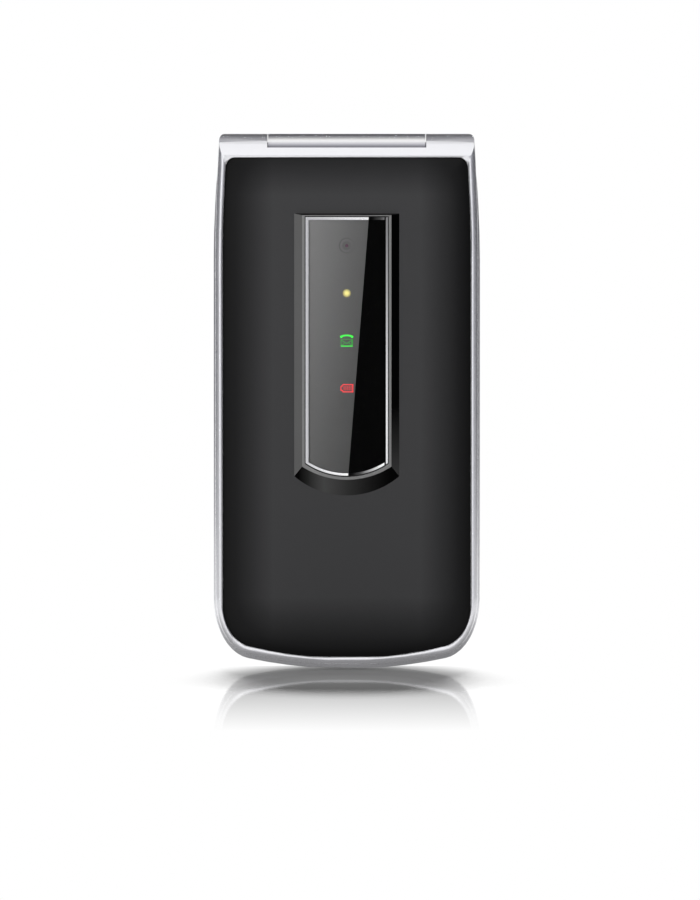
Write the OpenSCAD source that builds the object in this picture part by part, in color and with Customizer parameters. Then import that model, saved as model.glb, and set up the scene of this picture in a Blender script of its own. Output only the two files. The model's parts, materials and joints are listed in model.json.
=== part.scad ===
// Clamshell mobile phone, closed and standing upright on its chin.
// X runs across the phone, Y from the lid (front, -Y) to the battery cover (back, +Y), Z up to the hinge.

/* [Body] */
// Width of the keypad half, the widest part
body_w = 53.5; // [52:0.5:56]
// Height from the chin to the top of the hinge
body_h = 107.3; // [106:0.1:111]
// Thickness of the lid, from the window bezel to the screen side
lid_t = 8.9; // [8.9:0.1:9.6]
// Thickness of the keypad half
base_t = 9.8; // [9.8:0.1:10.8]
// Gap between the closed halves
lid_gap = 0.3; // [0.25:0.05:0.5]
// Outer wall of both halves
wall = 1.4; // [1.2:0.1:1.5]
// Step of the lid inside the keypad half's sides
lid_step = 0.45; // [0.3:0.05:0.6]
// Height of the lid's lower edge over the chin
lid_chin_up = 1.2; // [0.8:0.1:1.6]
// Clearance between pieces that are fixed together
fit = 0.05; // [0.02:0.01:0.08]

/* [Outline] */
// Radius of the chin's long arc
chin_r = 92; // [80:1:110]
// Depth of the flat that the phone stands on
chin_flat = 0.25; // [0.2:0.05:0.3]
// Width of a lower corner
corner_x = 8; // [7:0.5:9]
// Height of a lower corner
corner_z = 12; // [11:0.5:13]
// Height where the sides start to draw in
shoulder_z = 82; // [78:1:86]
// How far each side draws in by the top
shoulder_in = 1.3; // [1:0.1:1.6]
// Radius of the lid's top corners
top_r = 1; // [0.8:0.1:1.4]

/* [Hinge] */
// Radius of the barrel and of the knuckles
hinge_r = 5; // [4.9:0.05:5.2]
// Distance of the hinge axis in front of the lid's screen side
axis_in = 1.15; // [1.1:0.05:1.25]
// Length of the barrel
barrel_w = 31.5; // [30:0.5:33]
// Height of the barrel that shows over the crossbar
notch_h = 2.8; // [2.6:0.1:3]
// Opening angle of the lid
open_angle = 160; // [150:1:160]
// Gap between a barrel end and its knuckle
end_gap = 0.15; // [0.1:0.05:0.25]
// Gap round the barrel and round the knuckles
run_gap = 0.3; // [0.25:0.05:0.35]
// Gap round the path of the lid's front edge
sweep_gap = 0.45; // [0.4:0.05:0.5]
// Radius of the hinge cartridge and of the bush
cartridge_r = 2.9; // [2.7:0.1:3]
// Length of the hinge cartridge
cartridge_l = 13; // [12:0.5:14]
// Radius of the turning shaft
shaft_r = 1.5; // [1.3:0.05:1.6]
// Radius of the shaft's hexagonal head, to its corners
shaft_head_r = 2.2; // [2.1:0.05:2.4]
// Radius of the hollow pin
pin_r = 2; // [1.9:0.05:2.1]
// Bore of the hollow pin
pin_bore_r = 1.3; // [1.1:0.05:1.4]
// Length of the pin and of the shaft inside a knuckle
knuckle_l = 4.6; // [4:0.1:4.8]
// Length of the bush
bush_l = 6.2; // [5.5:0.1:7]
// Radial clearance of the pin and of the shaft where they turn
turn_fit = 0.05; // [0.03:0.01:0.08]

/* [Outer cover] */
// Width of the lid frame's rim beside the outer cover
side_rim = 1.5; // [1.3:0.1:1.7]
// Height of the crossbar over the outer cover
crossbar_h = 4.8; // [4.6:0.1:5]
// Width of the lid frame's rim under the outer cover
chin_rim = 1.4; // [1.3:0.1:1.6]
// Radius of the outer cover's lower arc
panel_chin_r = 80; // [70:1:90]
// How much lower the outer cover's corners are than the rim's
panel_corner_drop = 2; // [1.5:0.25:2.5]
// Depth of the rim's front behind the bezel's front
rim_back = 1.2; // [1.1:0.05:1.3]
// Height of the outer cover's middle over the rim's front
crown = 0.2; // [0.1:0.05:0.3]
// Fall of the outer cover from its middle to its edge
crown_fall = 0.6; // [0.5:0.05:0.7]
// Thickness of the outer cover at its middle
panel_t = 1.3; // [1.2:0.05:1.4]
// Thickness of the lid frame's web behind the outer cover
web_t = 0.8; // [0.7:0.05:0.9]

/* [Window] */
// Width over the bezel
window_w = 16.5; // [16:0.1:17]
// Height of the window's straight sides
window_h = 49.1; // [47:0.1:50]
// Distance from the top of the phone down to the window
window_drop = 16.7; // [16.2:0.1:18]
// Radius of the window's lower edge
window_r = 15.6; // [15:0.1:18]
// Width of the bezel
bezel_w = 0.7; // [0.6:0.05:0.8]
// Width of the flat round the bezel
ledge_w = 0.67; // [0.5:0.01:0.8]
// Width of the raised block's side flanks
flank_w = 1.6; // [1.4:0.1:1.8]
// Height of the raised block's lower flank
flank_h = 3.2; // [2.8:0.1:3.6]
// Height of the bezel over the raised block
bezel_proud = 0.2; // [0.15:0.05:0.25]
// Depth of the glass behind the bezel's front
glass_back = 0.1; // [0.05:0.05:0.15]
// Thickness of the window glass
glass_t = 0.7; // [0.6:0.05:0.8]
// Distance from the window's top down to the camera
camera_drop = 5.7; // [5.4:0.1:6]
// Distance between the window's lights
light_pitch = 9.5; // [9:0.1:9.6]
// Width of the camera body
camera_w = 6; // [5.5:0.1:6.4]
// Radius of the camera's lens barrel
camera_r = 2.2; // [2:0.1:2.4]
// Height of the camera's lens barrel
camera_nose = 0.55; // [0.4:0.05:0.6]
// Radius of the flash lamp
flash_r = 0.85; // [0.8:0.05:1]
// Width of a light guide
guide_w = 3.4; // [3.2:0.1:3.8]
// Height of a light guide
guide_h = 3; // [2.8:0.1:3.4]
// Width of the indicator board
indicator_w = 12; // [11:0.5:13]
// Thickness of the indicator board
indicator_t = 0.6; // [0.5:0.05:0.7]

/* [Screen side] */
// Distance of the screen's glass inside the lid's sides
screen_side = 4.4; // [4.2:0.1:5]
// Height of the lower edge of the screen's glass over the chin
screen_low = 30; // [28:0.5:34]
// Distance from the hinge axis down to the screen's glass
screen_drop = 12.1; // [12:0.1:12.8]
// Thickness of the screen's glass
screen_t = 0.6; // [0.5:0.05:0.65]
// Width of the ledge that carries the screen's glass
screen_ledge = 1.5; // [1.2:0.1:1.8]
// Thickness of the screen side's skin
skin_t = 1.2; // [1.15:0.05:1.3]
// Thickness of the display module
display_t = 2.4; // [2.2:0.05:2.5]
// Depth of the lid's two halves' joint behind the bezel's front
lid_split = 5.3; // [5.2:0.1:5.4]
// Width of the earpiece slot
ear_slot_w = 11; // [9:0.5:12]
// Height of the earpiece slot
ear_slot_h = 1.2; // [1:0.1:1.4]
// Height of the earpiece speaker
ear_h = 4.2; // [3.8:0.1:4.4]
// Distance of the lid's lower screws inside its sides
lid_screw_low_in = 12.3; // [12:0.1:13]
// Distance of the lid's upper screws inside its sides
lid_screw_top_in = 6.3; // [6.2:0.1:6.6]
// Radius of the lid magnet
magnet_r = 1.6; // [1.4:0.1:2]
// Distance of the lid magnet inside the left side
magnet_in = 6.3; // [5:0.1:8]

/* [Keys] */
// Gap between columns of number keys
column_gap = 1.2; // [1.2:0.1:1.6]
// Gap between rows of number keys
row_gap = 1.6; // [1.4:0.1:2]
// Height of the keypad's lower edge over the chin
keypad_low = 8.1; // [8:0.1:8.6]
// Distance of the soft keys from the top of the keypad's face
keypad_drop = 4.5; // [3:0.1:6]
// Gap between the number keys and the arrow keys
nav_gap = 4; // [3:0.1:6]
// Radius of a number key's corners
key_r = 1.6; // [1.2:0.1:2]
// Width of the soft keys, the call key and the end key
side_key_w = 8.2; // [7.8:0.1:8.2]
// Height of a soft key
soft_key_h = 7; // [6.5:0.1:7.2]
// Height of the call key and of the end key
call_key_h = 14; // [13:0.1:14.2]
// Radius of the OK key
ok_r = 4.3; // [4:0.1:4.3]
// Length of an arrow key
arrow_l = 12; // [11:0.1:12]
// Width of an arrow key
arrow_w = 5.4; // [5:0.1:5.4]
// Height of the soft keys' middle over the upper arrow key's middle
soft_key_rise = 2.6; // [2:0.1:3]
// Gap between the OK key and an arrow key
arrow_gap = 2; // [1.8:0.1:2]
// Gap round each key in its hole
key_gap = 0.15; // [0.12:0.01:0.2]
// Width of the flange that holds a key in
flange_w = 0.4; // [0.35:0.05:0.4]
// Thickness of that flange
flange_t = 0.3; // [0.25:0.05:0.35]
// Travel of a key
key_travel = 0.3; // [0.25:0.05:0.3]
// Height of a key over the keypad's face
key_proud = 0.35; // [0.3:0.05:0.4]

/* [Keypad half] */
// Depth of the keypad's face behind the rim
face_in = 0.5; // [0.45:0.05:0.6]
// Width of the rim round the keypad
rim_w = 2; // [1.8:0.1:2.2]
// Thickness of the keypad's face
face_t = 0.9; // [0.8:0.05:0.9]
// Thickness of the rubber key mat
mat_t = 0.3; // [0.25:0.05:0.3]
// Height of a switch dome
dome_h = 0.25; // [0.2:0.05:0.3]
// Radius of a switch dome
dome_r = 2; // [1.8:0.1:2.2]
// Thickness of the dome film
film_t = 0.1; // [0.08:0.01:0.12]
// Thickness of the main board
board_t = 0.8; // [0.7:0.05:0.9]
// Radius of the screw bosses
boss_r = 1.8; // [1.7:0.05:1.8]
// Distance of the base's screws inside its sides
screw_in = 3.35; // [3.35:0.05:3.45]
// Height of the base's lower screws over the chin
screw_low = 12; // [11.5:0.5:13]
// Radius of a screw's shank
screw_r = 0.7; // [0.6:0.05:0.7]
// Radius of a screw's head
head_r = 1.4; // [1.3:0.05:1.4]
// Height of a screw's head
head_t = 0.8; // [0.7:0.05:0.85]
// Clearance round a screw
screw_fit = 0.1; // [0.08:0.01:0.12]

/* [Battery bay] */
// Height of the battery
battery_h = 50; // [48:0.5:51]
// Height of the bay's lower wall over the chin
bay_z = 9.6; // [9.4:0.1:9.8]
// Room for the cover's latch tabs beside the bay
tab_room = 2.6; // [2.4:0.1:2.8]
// Distance of a latch tab from the bay's end
tab_in = 17; // [14:0.5:20]
// Length of a latch tab
tab_l = 3; // [2:0.5:4]
// Thickness of a latch tab
tab_w = 1; // [0.8:0.1:1.2]
// Height of the antenna and of the board over the chin's wall
chin_room = 2.4; // [2.2:0.1:2.6]
// Clearance round the battery
battery_gap = 0.4; // [0.3:0.05:0.5]
// Thickness of the bay's floor and walls
bay_wall = 0.6; // [0.55:0.05:0.7]
// Gap between the main board and the bay's floor
part_gap = 0.6; // [0.5:0.05:0.7]
// Thickness of the battery cover
cover_t = 1; // [0.9:0.05:1.05]
// Distance of the battery cover's edge inside the outline
cover_in = 1.7; // [1.6:0.05:1.8]
// Distance of the battery cover's upper edge over the bay
cover_lap = 1.6; // [1.4:0.1:1.8]
// Gap round the battery cover
cover_gap = 0.12; // [0.1:0.01:0.15]

/* [Edges and sockets] */
// Distance of the volume rocker's middle under the bay's upper wall
rocker_drop = 22.4; // [18:0.2:26]
// Length of the volume rocker
rocker_l = 16; // [14:0.5:16]
// Width of the volume rocker
rocker_w = 3.2; // [3:0.1:3.4]
// Radius of the volume rocker's pivot
rocker_pin_r = 0.45; // [0.4:0.05:0.5]
// Depth of the scoop round the volume rocker
rocker_scoop = 0.7; // [0.6:0.05:0.75]
// Height of the charging socket over the chin
usb_z = 40; // [32:0.5:46]
// Width of the charging socket
usb_w = 7.5; // [7.4:0.1:7.8]
// Height of the charging socket's shell
usb_t = 2.7; // [2.5:0.05:2.8]
// Depth of the charging socket
usb_l = 5.6; // [5.3:0.1:5.8]
// Radius of the loudspeaker
speaker_r = 6; // [5.5:0.1:6]
// Distance of the loudspeaker inside the right side
speaker_in = 14.75; // [14:0.05:15]
// Radius of the vibration motor
motor_r = 1.9; // [1.7:0.05:2]
// Length of the vibration motor
motor_l = 9; // [8:0.5:10]
// Radius of the microphone
mic_r = 2; // [1.8:0.1:2]
// Distance of the vibration motor from the middle
motor_x = 6; // [5:0.5:6.5]
// Length of the antenna
antenna_l = 19; // [16:0.5:20]
// Width of the SIM holder
sim_w = 25; // [24:0.5:27]
// Thickness of the SIM holder
sim_t = 1.6; // [1.4:0.1:1.8]
// Width of the battery's contact block
contact_w = 10; // [8:0.5:12]
// Height of the battery's contact block
contact_h = 3.4; // [3:0.1:4]

/* [Hidden] */
$fn = 48;

// Long enough to cut right through the phone
far = 200;

// Planes across the thickness, front to back
body_t = lid_t + lid_gap + base_t;
front_y = -body_t / 2;
back_y = body_t / 2;
rim_y = front_y + rim_back;
crown_y = rim_y - crown;
block_y = front_y + bezel_proud;
glass_y = front_y + glass_back;
seat_y = glass_y + glass_t;
panel_back_y = crown_y + panel_t;
web_y = panel_back_y + web_t;
lid_split_y = front_y + lid_split;
lid_in_y = front_y + lid_t;
skin_y = lid_in_y - skin_t;
base_y = lid_in_y + lid_gap;
face_y = base_y + face_in;
plate_y = face_y + face_t;
flange_y = plate_y + fit;
mat_y = flange_y + flange_t + key_travel + fit;
dome_y = mat_y + mat_t + fit;
board_y = dome_y + dome_h + film_t;
board_back_y = board_y + board_t;
floor_y = board_back_y + part_gap;
bay_y = floor_y + bay_wall;
cover_y = back_y - cover_t;
rear_in_y = cover_y - 0.9;

// Hinge
axis_y = lid_in_y - axis_in;
axis_z = body_h - hinge_r;
notch_w = barrel_w + 2 * end_gap;
barrel_end = barrel_w / 2;
knuckle_x = notch_w / 2;
front_r = axis_y - rim_y;
sweep_r = front_r + sweep_gap;
notch_rise = hinge_r - notch_h;
// The crossbar's top edge reaches this angle behind the axis when the lid is open
strip_angle = 180 - asin(notch_rise / hinge_r) - open_angle;
groove_drop = sweep_r * sin(max(6, 10 - strip_angle));
hinge_wall = 1.2;
inner_top = axis_z - hinge_r - run_gap - 0.1;

// Insides of the keypad half
screw_x = body_w / 2 - screw_in;
bay_hw = screw_x - boss_r - bay_wall - tab_room;
cavity_top = axis_z - 7.7;
bay_top = cavity_top - 2 * speaker_r - 2.2;
cover_top = bay_top + cover_lap;

// Outlines: half width, half width at the top, lowest, highest, chin radius, corner width and height, top
// corner radius, height where the sides start to draw in
base_top = body_h - 1.6;
lid_hw = body_w / 2 - lid_step;
lid_top_hw = body_w / 2 - shoulder_in;
base_shape = [body_w / 2, lid_top_hw, 0, base_top, chin_r, corner_x, corner_z, 2, shoulder_z];
lid_shape = [lid_hw, lid_top_hw, lid_chin_up, body_h, chin_r, corner_x - lid_step, corner_z - lid_step,
             top_r, shoulder_z];
inner_shape = [lid_hw, side_x(lid_shape, inner_top), lid_chin_up, inner_top, chin_r, corner_x - lid_step,
               corner_z - lid_step, 0.6, shoulder_z];
panel_hw = lid_hw - side_rim;
panel_shape = [panel_hw, panel_hw - 0.9 * (shoulder_in - lid_step), lid_chin_up + chin_rim,
               body_h - crossbar_h, panel_chin_r, corner_x - side_rim, corner_z - side_rim - panel_corner_drop, 1.6,
               shoulder_z];
face_shape = [body_w / 2 - rim_w, side_x(base_shape, axis_z) - rim_w, rim_w,
              axis_z - hinge_r - run_gap - rim_w, chin_r, corner_x - rim_w, corner_z - rim_w, 2, shoulder_z];
cover_shape = [body_w / 2 - cover_in, body_w / 2 - cover_in, cover_in, cover_top, chin_r,
               corner_x - cover_in, corner_z - cover_in, 1.2, cover_top - 2];
face_top = face_shape[3];

// Window
window_top = body_h - window_drop;
camera_z = window_top - camera_drop;
flash_z = camera_z - light_pitch;
call_z = flash_z - light_pitch;
charge_z = call_z - light_pitch;
board_front_y = web_y + fit;
light_y = seat_y + fit;

// Screen side
screen_w = 2 * (lid_hw - screen_side);
screen_top = axis_z - screen_drop;
screen_h = screen_top - screen_low;
screen_z = screen_low + screen_h / 2;
display_y = skin_y - 0.1;
ear_z = screen_top + 2.4;
lid_screw_rise = 5;
lid_screws_at = [for (side = [-1, 1])
    each [[side * (lid_hw - lid_screw_low_in), lid_chin_up + lid_screw_rise],
          [side * (lid_hw - lid_screw_top_in), screen_top + 3.2]]];
lid_head_y = skin_y - 0.4;
plug_y = lid_head_y + head_t + 0.1;

// Keys: name, x, z, width, height, corner radius
digits = ["key_star", "key_0", "key_hash", "key_7", "key_8", "key_9", "key_4", "key_5", "key_6",
          "key_1", "key_2", "key_3"];
keypad_hw = screw_x - boss_r - flange_w - 0.2;
digit_w = (2 * keypad_hw - 2 * column_gap) / 3;
digit_dx = digit_w + column_gap;
side_key_x = keypad_hw - side_key_w / 2;
arrow_d = ok_r + arrow_gap + arrow_w / 2;
keypad_high = face_top - keypad_drop;
soft_key_z = keypad_high - soft_key_h / 2;
ok_z = soft_key_z - soft_key_rise - arrow_d;
digit_dz = (ok_z - arrow_d - arrow_w / 2 - nav_gap - keypad_low + row_gap) / 4;
digit_h = digit_dz - row_gap;
digit_z = keypad_low + digit_h / 2;
keys = concat(
    [for (i = [0:11]) [digits[i], (i % 3 - 1) * digit_dx, digit_z + floor(i / 3) * digit_dz,
                       digit_w, digit_h, key_r]],
    [["soft_key_left", -side_key_x, soft_key_z, side_key_w, soft_key_h, key_r],
     ["soft_key_right", side_key_x, soft_key_z, side_key_w, soft_key_h, key_r],
     ["call_key", -side_key_x, ok_z - 2, side_key_w, call_key_h, key_r],
     ["end_key", side_key_x, ok_z - 2, side_key_w, call_key_h, key_r],
     ["ok_key", 0, ok_z, 2 * ok_r, 2 * ok_r, ok_r],
     ["nav_up", 0, ok_z + arrow_d, arrow_l, arrow_w, key_r],
     ["nav_down", 0, ok_z - arrow_d, arrow_l, arrow_w, key_r],
     ["nav_left", -arrow_d, ok_z, arrow_w, arrow_l, key_r],
     ["nav_right", arrow_d, ok_z, arrow_w, arrow_l, key_r]]);

// Keypad half
base_screws_at = [for (x = [-screw_x, screw_x], z = [screw_low, bay_top - boss_r - 1.6]) [x, z]];
base_head_y = cover_y - head_t - 0.4;
battery_w = 2 * (bay_hw - battery_gap);
battery_top = bay_z + battery_gap + battery_h;
speaker_x = body_w / 2 - speaker_in;
speaker_z = cavity_top - speaker_r - 1;
tab_x = bay_hw + bay_wall + tab_room / 2;
tabs_at = [for (x = [-tab_x, tab_x], z = [bay_z + tab_in, bay_top - tab_in]) [x, z]];
rocker_z = bay_top - rocker_drop;
rocker_y = board_back_y + 0.5 + rocker_w / 2;
rocker_x = body_w / 2 - wall - rocker_pin_r - 0.1;
mic_z = wall + mic_r + 1.6;

// ---- Shapes ----

// Half width of an outline at height z, above its lower corners
function side_x(s, z) = s[0] - (s[0] - s[1]) * pow(max(0, z - s[8]) / (s[3] - s[8]), 2);

// Right half of an outline from the chin to the top, e inside it
function half_outline(s, e) =
    let (w = s[0] - e, top_w = s[1] - e, low = s[2] + e, high = s[3] - e, r = s[4] - e,
         rx = max(1, s[5] - e), rz = max(1, s[6] - e), tr = max(0.4, s[7] - e),
         start = atan((w - rx) / r * rx / rz),
         join = w - rx + rx * sin(start),
         mid = low - chin_flat + join * join / (2 * r) + rz * cos(start),
         neck = high - tr)
    concat(
        [for (i = [1:4]) let (x = join * i / 5) [x, max(s[2], low - chin_flat + x * x / (2 * r))]],
        [for (i = [0:10]) let (a = start + (90 - start) * i / 10) [w - rx + rx * sin(a), mid - rz * cos(a)]],
        [for (i = [0:4]) let (z = s[8] + (neck - s[8]) * i / 4)
            [w - (w - top_w) * pow((z - s[8]) / (high - s[8]), 2), z]],
        [for (a = [22.5, 45, 67.5, 90]) [top_w - tr + tr * cos(a), neck + tr * sin(a)]]);

function outline(s, e) =
    let (half = half_outline(s, e))
    concat(half, [for (i = [len(half) - 1:-1:0]) [-half[i][0], half[i][1]]]);

// Outline of the window, or of a border d outside it, with its lower edge an arc
function window_outline(d, drop, low_d) =
    let (w = window_w / 2 + d, side = window_top - window_h - drop, r = window_r + low_d,
         arc = asin(w / r))
    concat([[w, window_top + min(d, ledge_w)], [-w, window_top + min(d, ledge_w)]],
           [for (i = [0:8]) let (a = arc * (i / 4 - 1)) [r * sin(a), side + r * cos(arc) - r * cos(a)]]);

// Solid through a stack of equal-count rings, each at its own y, front to back
module skin(rings) {
    n = len(rings[0]);
    last = len(rings) - 1;
    polyhedron(
        points = [for (ring = rings) each ring],
        faces = concat(
            [[for (i = [n - 1:-1:0]) i]],
            [for (k = [0:last - 1], i = [0:n - 1]) let (a = k * n + i, b = k * n + (i + 1) % n) [a, b, b + n]],
            [for (k = [0:last - 1], i = [0:n - 1]) let (a = k * n + i, b = k * n + (i + 1) % n)
                [a, b + n, a + n]],
            [[for (i = [0:n - 1]) last * n + i]]));
}

// Solid with an outline s, through levels of [y, inset]
module loft(s, levels) {
    skin([for (l = levels) [for (p = outline(s, l[1])) [p[0], l[0], p[1]]]]);
}

// Straight slab of 2-D children between two planes across the thickness
module slab(y0, y1) {
    translate([0, y1, 0]) rotate([90, 0, 0]) linear_extrude(y1 - y0) children();
}

module outline_slab(s, e, y0, y1) {
    slab(y0, y1) polygon(outline(s, e));
}

// 2-D plate with rounded corners, or a disc where the corners take up its whole width
module plate(x, z, w, h, r) {
    translate([x, z]) if (w > 2 * r) {
        square([w - 2 * r, h], center = true);
        square([w, h - 2 * r], center = true);
        for (i = [-1, 1], j = [-1, 1]) translate([i * (w / 2 - r), j * (h / 2 - r)]) circle(r);
    } else {
        circle(r);
    }
}

module block(x, y, z) {
    translate([x[0], y[0], z[0]]) cube([x[1] - x[0], y[1] - y[0], z[1] - z[0]]);
}

// Block centred on x and z
module brick(x, z, w, h, y0, y1) {
    block([x - w / 2, x + w / 2], [y0, y1], [z - h / 2, z + h / 2]);
}

module rod_y(x, z, r, y0, y1) {
    translate([x, y1, z]) rotate([90, 0, 0]) cylinder(h = y1 - y0, r = r);
}

module rod_x(y, z, r, x0, x1) {
    translate([x0, y, z]) rotate([0, 90, 0]) cylinder(h = x1 - x0, r = r);
}

module hinge_rod(r, x0, x1) {
    rod_x(axis_y, axis_z, r, x0, x1);
}

// ---- Lid ----

// Side view of the lid frame: a slab with a knuckle on top, rounder at the front
module lid_profile() {
    rotate([90, 0, 90]) linear_extrude(far, center = true) {
        translate([rim_y, -1]) square([lid_split - rim_back, axis_z + 1]);
        translate([axis_y, axis_z]) {
            circle(hinge_r);
            polygon(concat([[0, 0]], [for (a = [90:9:180]) [front_r * cos(a), hinge_r * sin(a)]]));
        }
    }
}

module lid_boss(p, y0, y1) {
    rod_y(p[0], p[1], boss_r, y0, y1);
}

module lid_frame() color("silver") {
    difference() {
        union() {
            difference() {
                intersection() {
                    loft(lid_shape, [[rim_y, 1], [rim_y + 0.06, 0.8], [rim_y + 0.22, 0.5],
                                     [rim_y + 0.55, 0.24], [rim_y + 1.1, 0.07], [rim_y + 1.8, 0],
                                     [axis_y + hinge_r + 0.2, 0]]);
                    lid_profile();
                }
                intersection() {
                    outline_slab(lid_shape, wall, web_y, lid_split_y + fit);
                    block([-far, far], [-far, far], [0, axis_z - hinge_r - run_gap - hinge_wall]);
                }
            }
            for (p = lid_screws_at) lid_boss(p, web_y - fit, lid_split_y);
        }
        // Notch and seat of the barrel
        block([-knuckle_x, knuckle_x], [-far, far], [axis_z + notch_rise, far]);
        hinge_rod(hinge_r + run_gap, -knuckle_x, knuckle_x);
        // Recess of the outer cover
        outline_slab(panel_shape, -fit, -far, panel_back_y);
        // Openings of the camera and of the lights
        brick(0, camera_z, camera_w + 4 * fit, camera_w + 4 * fit, -far, web_y + fit);
        rod_y(0, flash_z, flash_r + 0.2, -far, web_y + fit);
        for (z = [call_z, charge_z]) brick(0, z, guide_w + 4 * fit, guide_h + 4 * fit, -far, web_y + fit);
        // Bores of the screws, the shaft's head and the pin, and the flex's channel
        for (p = lid_screws_at) rod_y(p[0], p[1], screw_r + fit, web_y, far);
        translate([knuckle_x - 1, axis_y, axis_z]) rotate([0, 90, 0])
            cylinder(h = knuckle_l + 1 + fit, r = shaft_head_r + fit, $fn = 6);
        hinge_rod(pin_r + fit / 2, -knuckle_x - knuckle_l - fit, -knuckle_x + 1);
        flex_channel();
    }
}

flex_w = 2;
flex_t = 0.15;
flex_x = -lid_hw + wall + 0.8;
flex_y = display_y - display_t;
module flex_channel() {
    block([flex_x - 0.3, flex_x + flex_w + 0.3], [flex_y - 0.4, axis_y + 1],
          [axis_z - hinge_r - 2, axis_z + 0.6]);
    hinge_rod(pin_bore_r, flex_x, -knuckle_x - knuckle_l);
}

module outer_cover() color([0.16, 0.16, 0.17]) {
    difference() {
        union() {
            loft(panel_shape, [[crown_y, 6], [crown_y + 0.1 * crown_fall, 4], [crown_y + 0.35 * crown_fall, 2],
                               [crown_y + 0.7 * crown_fall, 0.7], [crown_y + crown_fall, 0.1],
                               [crown_y + crown_fall + 0.2, 0], [panel_back_y - fit, 0]]);
            skin([[for (p = window_outline(ledge_w, -0.1, 0.7)) [p[0], block_y, p[1]]],
                  [for (p = window_outline(ledge_w + flank_w, flank_h - 1.1, -0.2))
                      [p[0], crown_y + 0.05, p[1]]],
                  [for (p = window_outline(ledge_w + flank_w, flank_h - 1.1, -0.2))
                      [p[0], crown_y + 0.5, p[1]]]]);
        }
        slab(-far, seat_y) polygon(window_outline(fit, 0, 0));
        // Opening behind the glass
        brick(0, (camera_z + charge_z) / 2, camera_w + 6 * fit, camera_z - charge_z + camera_w + 6 * fit,
              -far, far);
    }
}

module window_trim() color("gainsboro") {
    difference() {
        slab(front_y, seat_y) polygon(window_outline(0, 0, 0));
        slab(-far, far) polygon(window_outline(-bezel_w, -bezel_w * 0.6, -0.2));
    }
}

module window_lens() color([0.08, 0.08, 0.09]) {
    slab(glass_y, seat_y) polygon(window_outline(-bezel_w - fit, -bezel_w * 0.6 - fit, -0.2));
}

module camera_module() color("black") {
    brick(0, camera_z, camera_w, camera_w, light_y + camera_nose, board_front_y);
    rod_y(0, camera_z, camera_r, light_y, light_y + camera_nose + fit);
}

module flash_led() color("khaki") {
    rod_y(0, flash_z, flash_r, light_y, board_front_y);
}

module light_guide(z) {
    brick(0, z, guide_w, guide_h, light_y, board_front_y);
}

module call_light_guide() color("limegreen") light_guide(call_z);

module battery_light_guide() color("red") light_guide(charge_z);

module indicator_board() color("darkgreen") {
    top = camera_z + camera_w / 2 + 1;
    low = charge_z - guide_h / 2 - 2;
    block([-indicator_w / 2, indicator_w / 2], [board_front_y, board_front_y + indicator_t], [low, top]);
}

module lid_inner_housing() color([0.2, 0.2, 0.21]) {
    difference() {
        union() {
            difference() {
                loft(inner_shape, [[lid_split_y, 0], [lid_in_y - 0.6, 0], [lid_in_y - 0.15, 0.25],
                                   [lid_in_y, 0.7]]);
                outline_slab(inner_shape, wall, lid_split_y - 1, skin_y);
            }
            for (p = lid_screws_at) lid_boss(p, lid_split_y, skin_y + fit);
        }
        slab(lid_in_y - screen_t - 0.1, far) plate(0, screen_z, screen_w + 2 * fit, screen_h + 2 * fit, 1.5);
        brick(0, screen_z, screen_w - 2 * screen_ledge, screen_h - 2 * screen_ledge, skin_y - 1, far);
        brick(0, ear_z, ear_slot_w, ear_slot_h, skin_y - 1, far);
        for (p = lid_screws_at) {
            rod_y(p[0], p[1], screw_r + screw_fit, lid_split_y - 1, far);
            rod_y(p[0], p[1], head_r + screw_fit, lid_head_y, far);
        }
    }
}

module display_module() color("dimgray") {
    brick(0, screen_z, screen_w - 2, screen_h - 1.4, flex_y, display_y);
}

module display_lens() color([0.05, 0.05, 0.07]) {
    slab(lid_in_y - screen_t - 0.1, lid_in_y - 0.1) plate(0, screen_z, screen_w, screen_h, 1.45);
}

module earpiece_speaker() color("slategray") {
    low = screen_top + 0.3;
    block([-ear_slot_w / 2 - 0.5, ear_slot_w / 2 + 0.5], [display_y - 2.2, display_y], [low, low + ear_h]);
}

// A screw with its head at head_y and its tip to either side of it
module screw(p, head_y, tip_y) {
    rod_y(p[0], p[1], head_r, min(head_y, head_y + head_t), head_y + head_t);
    rod_y(p[0], p[1], screw_r, tip_y, head_y + fit);
}

module lid_screws() color("gray") {
    for (p = lid_screws_at) screw(p, lid_head_y, web_y + 0.3);
}

module lid_bumpers() color([0.12, 0.12, 0.12]) {
    for (p = lid_screws_at) rod_y(p[0], p[1], head_r + fit, plug_y, face_y - 0.25);
}

module lid_magnet() color("lightsteelblue") {
    rod_y(-lid_hw + magnet_in, lid_chin_up + lid_screw_rise + 7, magnet_r, skin_y - 1.6, skin_y);
}

module hinge_shaft() color("steelblue") {
    hinge_rod(shaft_r, barrel_end - 0.35 - cartridge_l + 4.5, knuckle_x + 0.4);
    translate([knuckle_x + 0.3, axis_y, axis_z]) rotate([0, 90, 0])
        cylinder(h = knuckle_l - 0.3, r = shaft_head_r, $fn = 6);
}

module hinge_pin() color("lightsteelblue") {
    difference() {
        hinge_rod(pin_r, -knuckle_x - knuckle_l, -barrel_end + 0.35 + bush_l);
        hinge_rod(pin_bore_r, -far, far);
    }
}

module display_flex() color("orange") {
    lead = pin_bore_r * 0.7;
    block([flex_x, flex_x + flex_w], [flex_y - flex_t, flex_y], [screen_z, axis_z + flex_t / 2]);
    block([flex_x, flex_x + flex_w], [flex_y - flex_t, axis_y + lead], [axis_z - flex_t / 2, axis_z + flex_t / 2]);
    block([flex_x, -barrel_end + bush_l], [axis_y - lead, axis_y + lead],
          [axis_z - flex_t / 2, axis_z + flex_t / 2]);
    block([flex_x, -flex_x / 4 - 12], [flex_y - flex_t, flex_y], [screen_z, screen_z + 6]);
}

// ---- Keypad half ----

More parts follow.
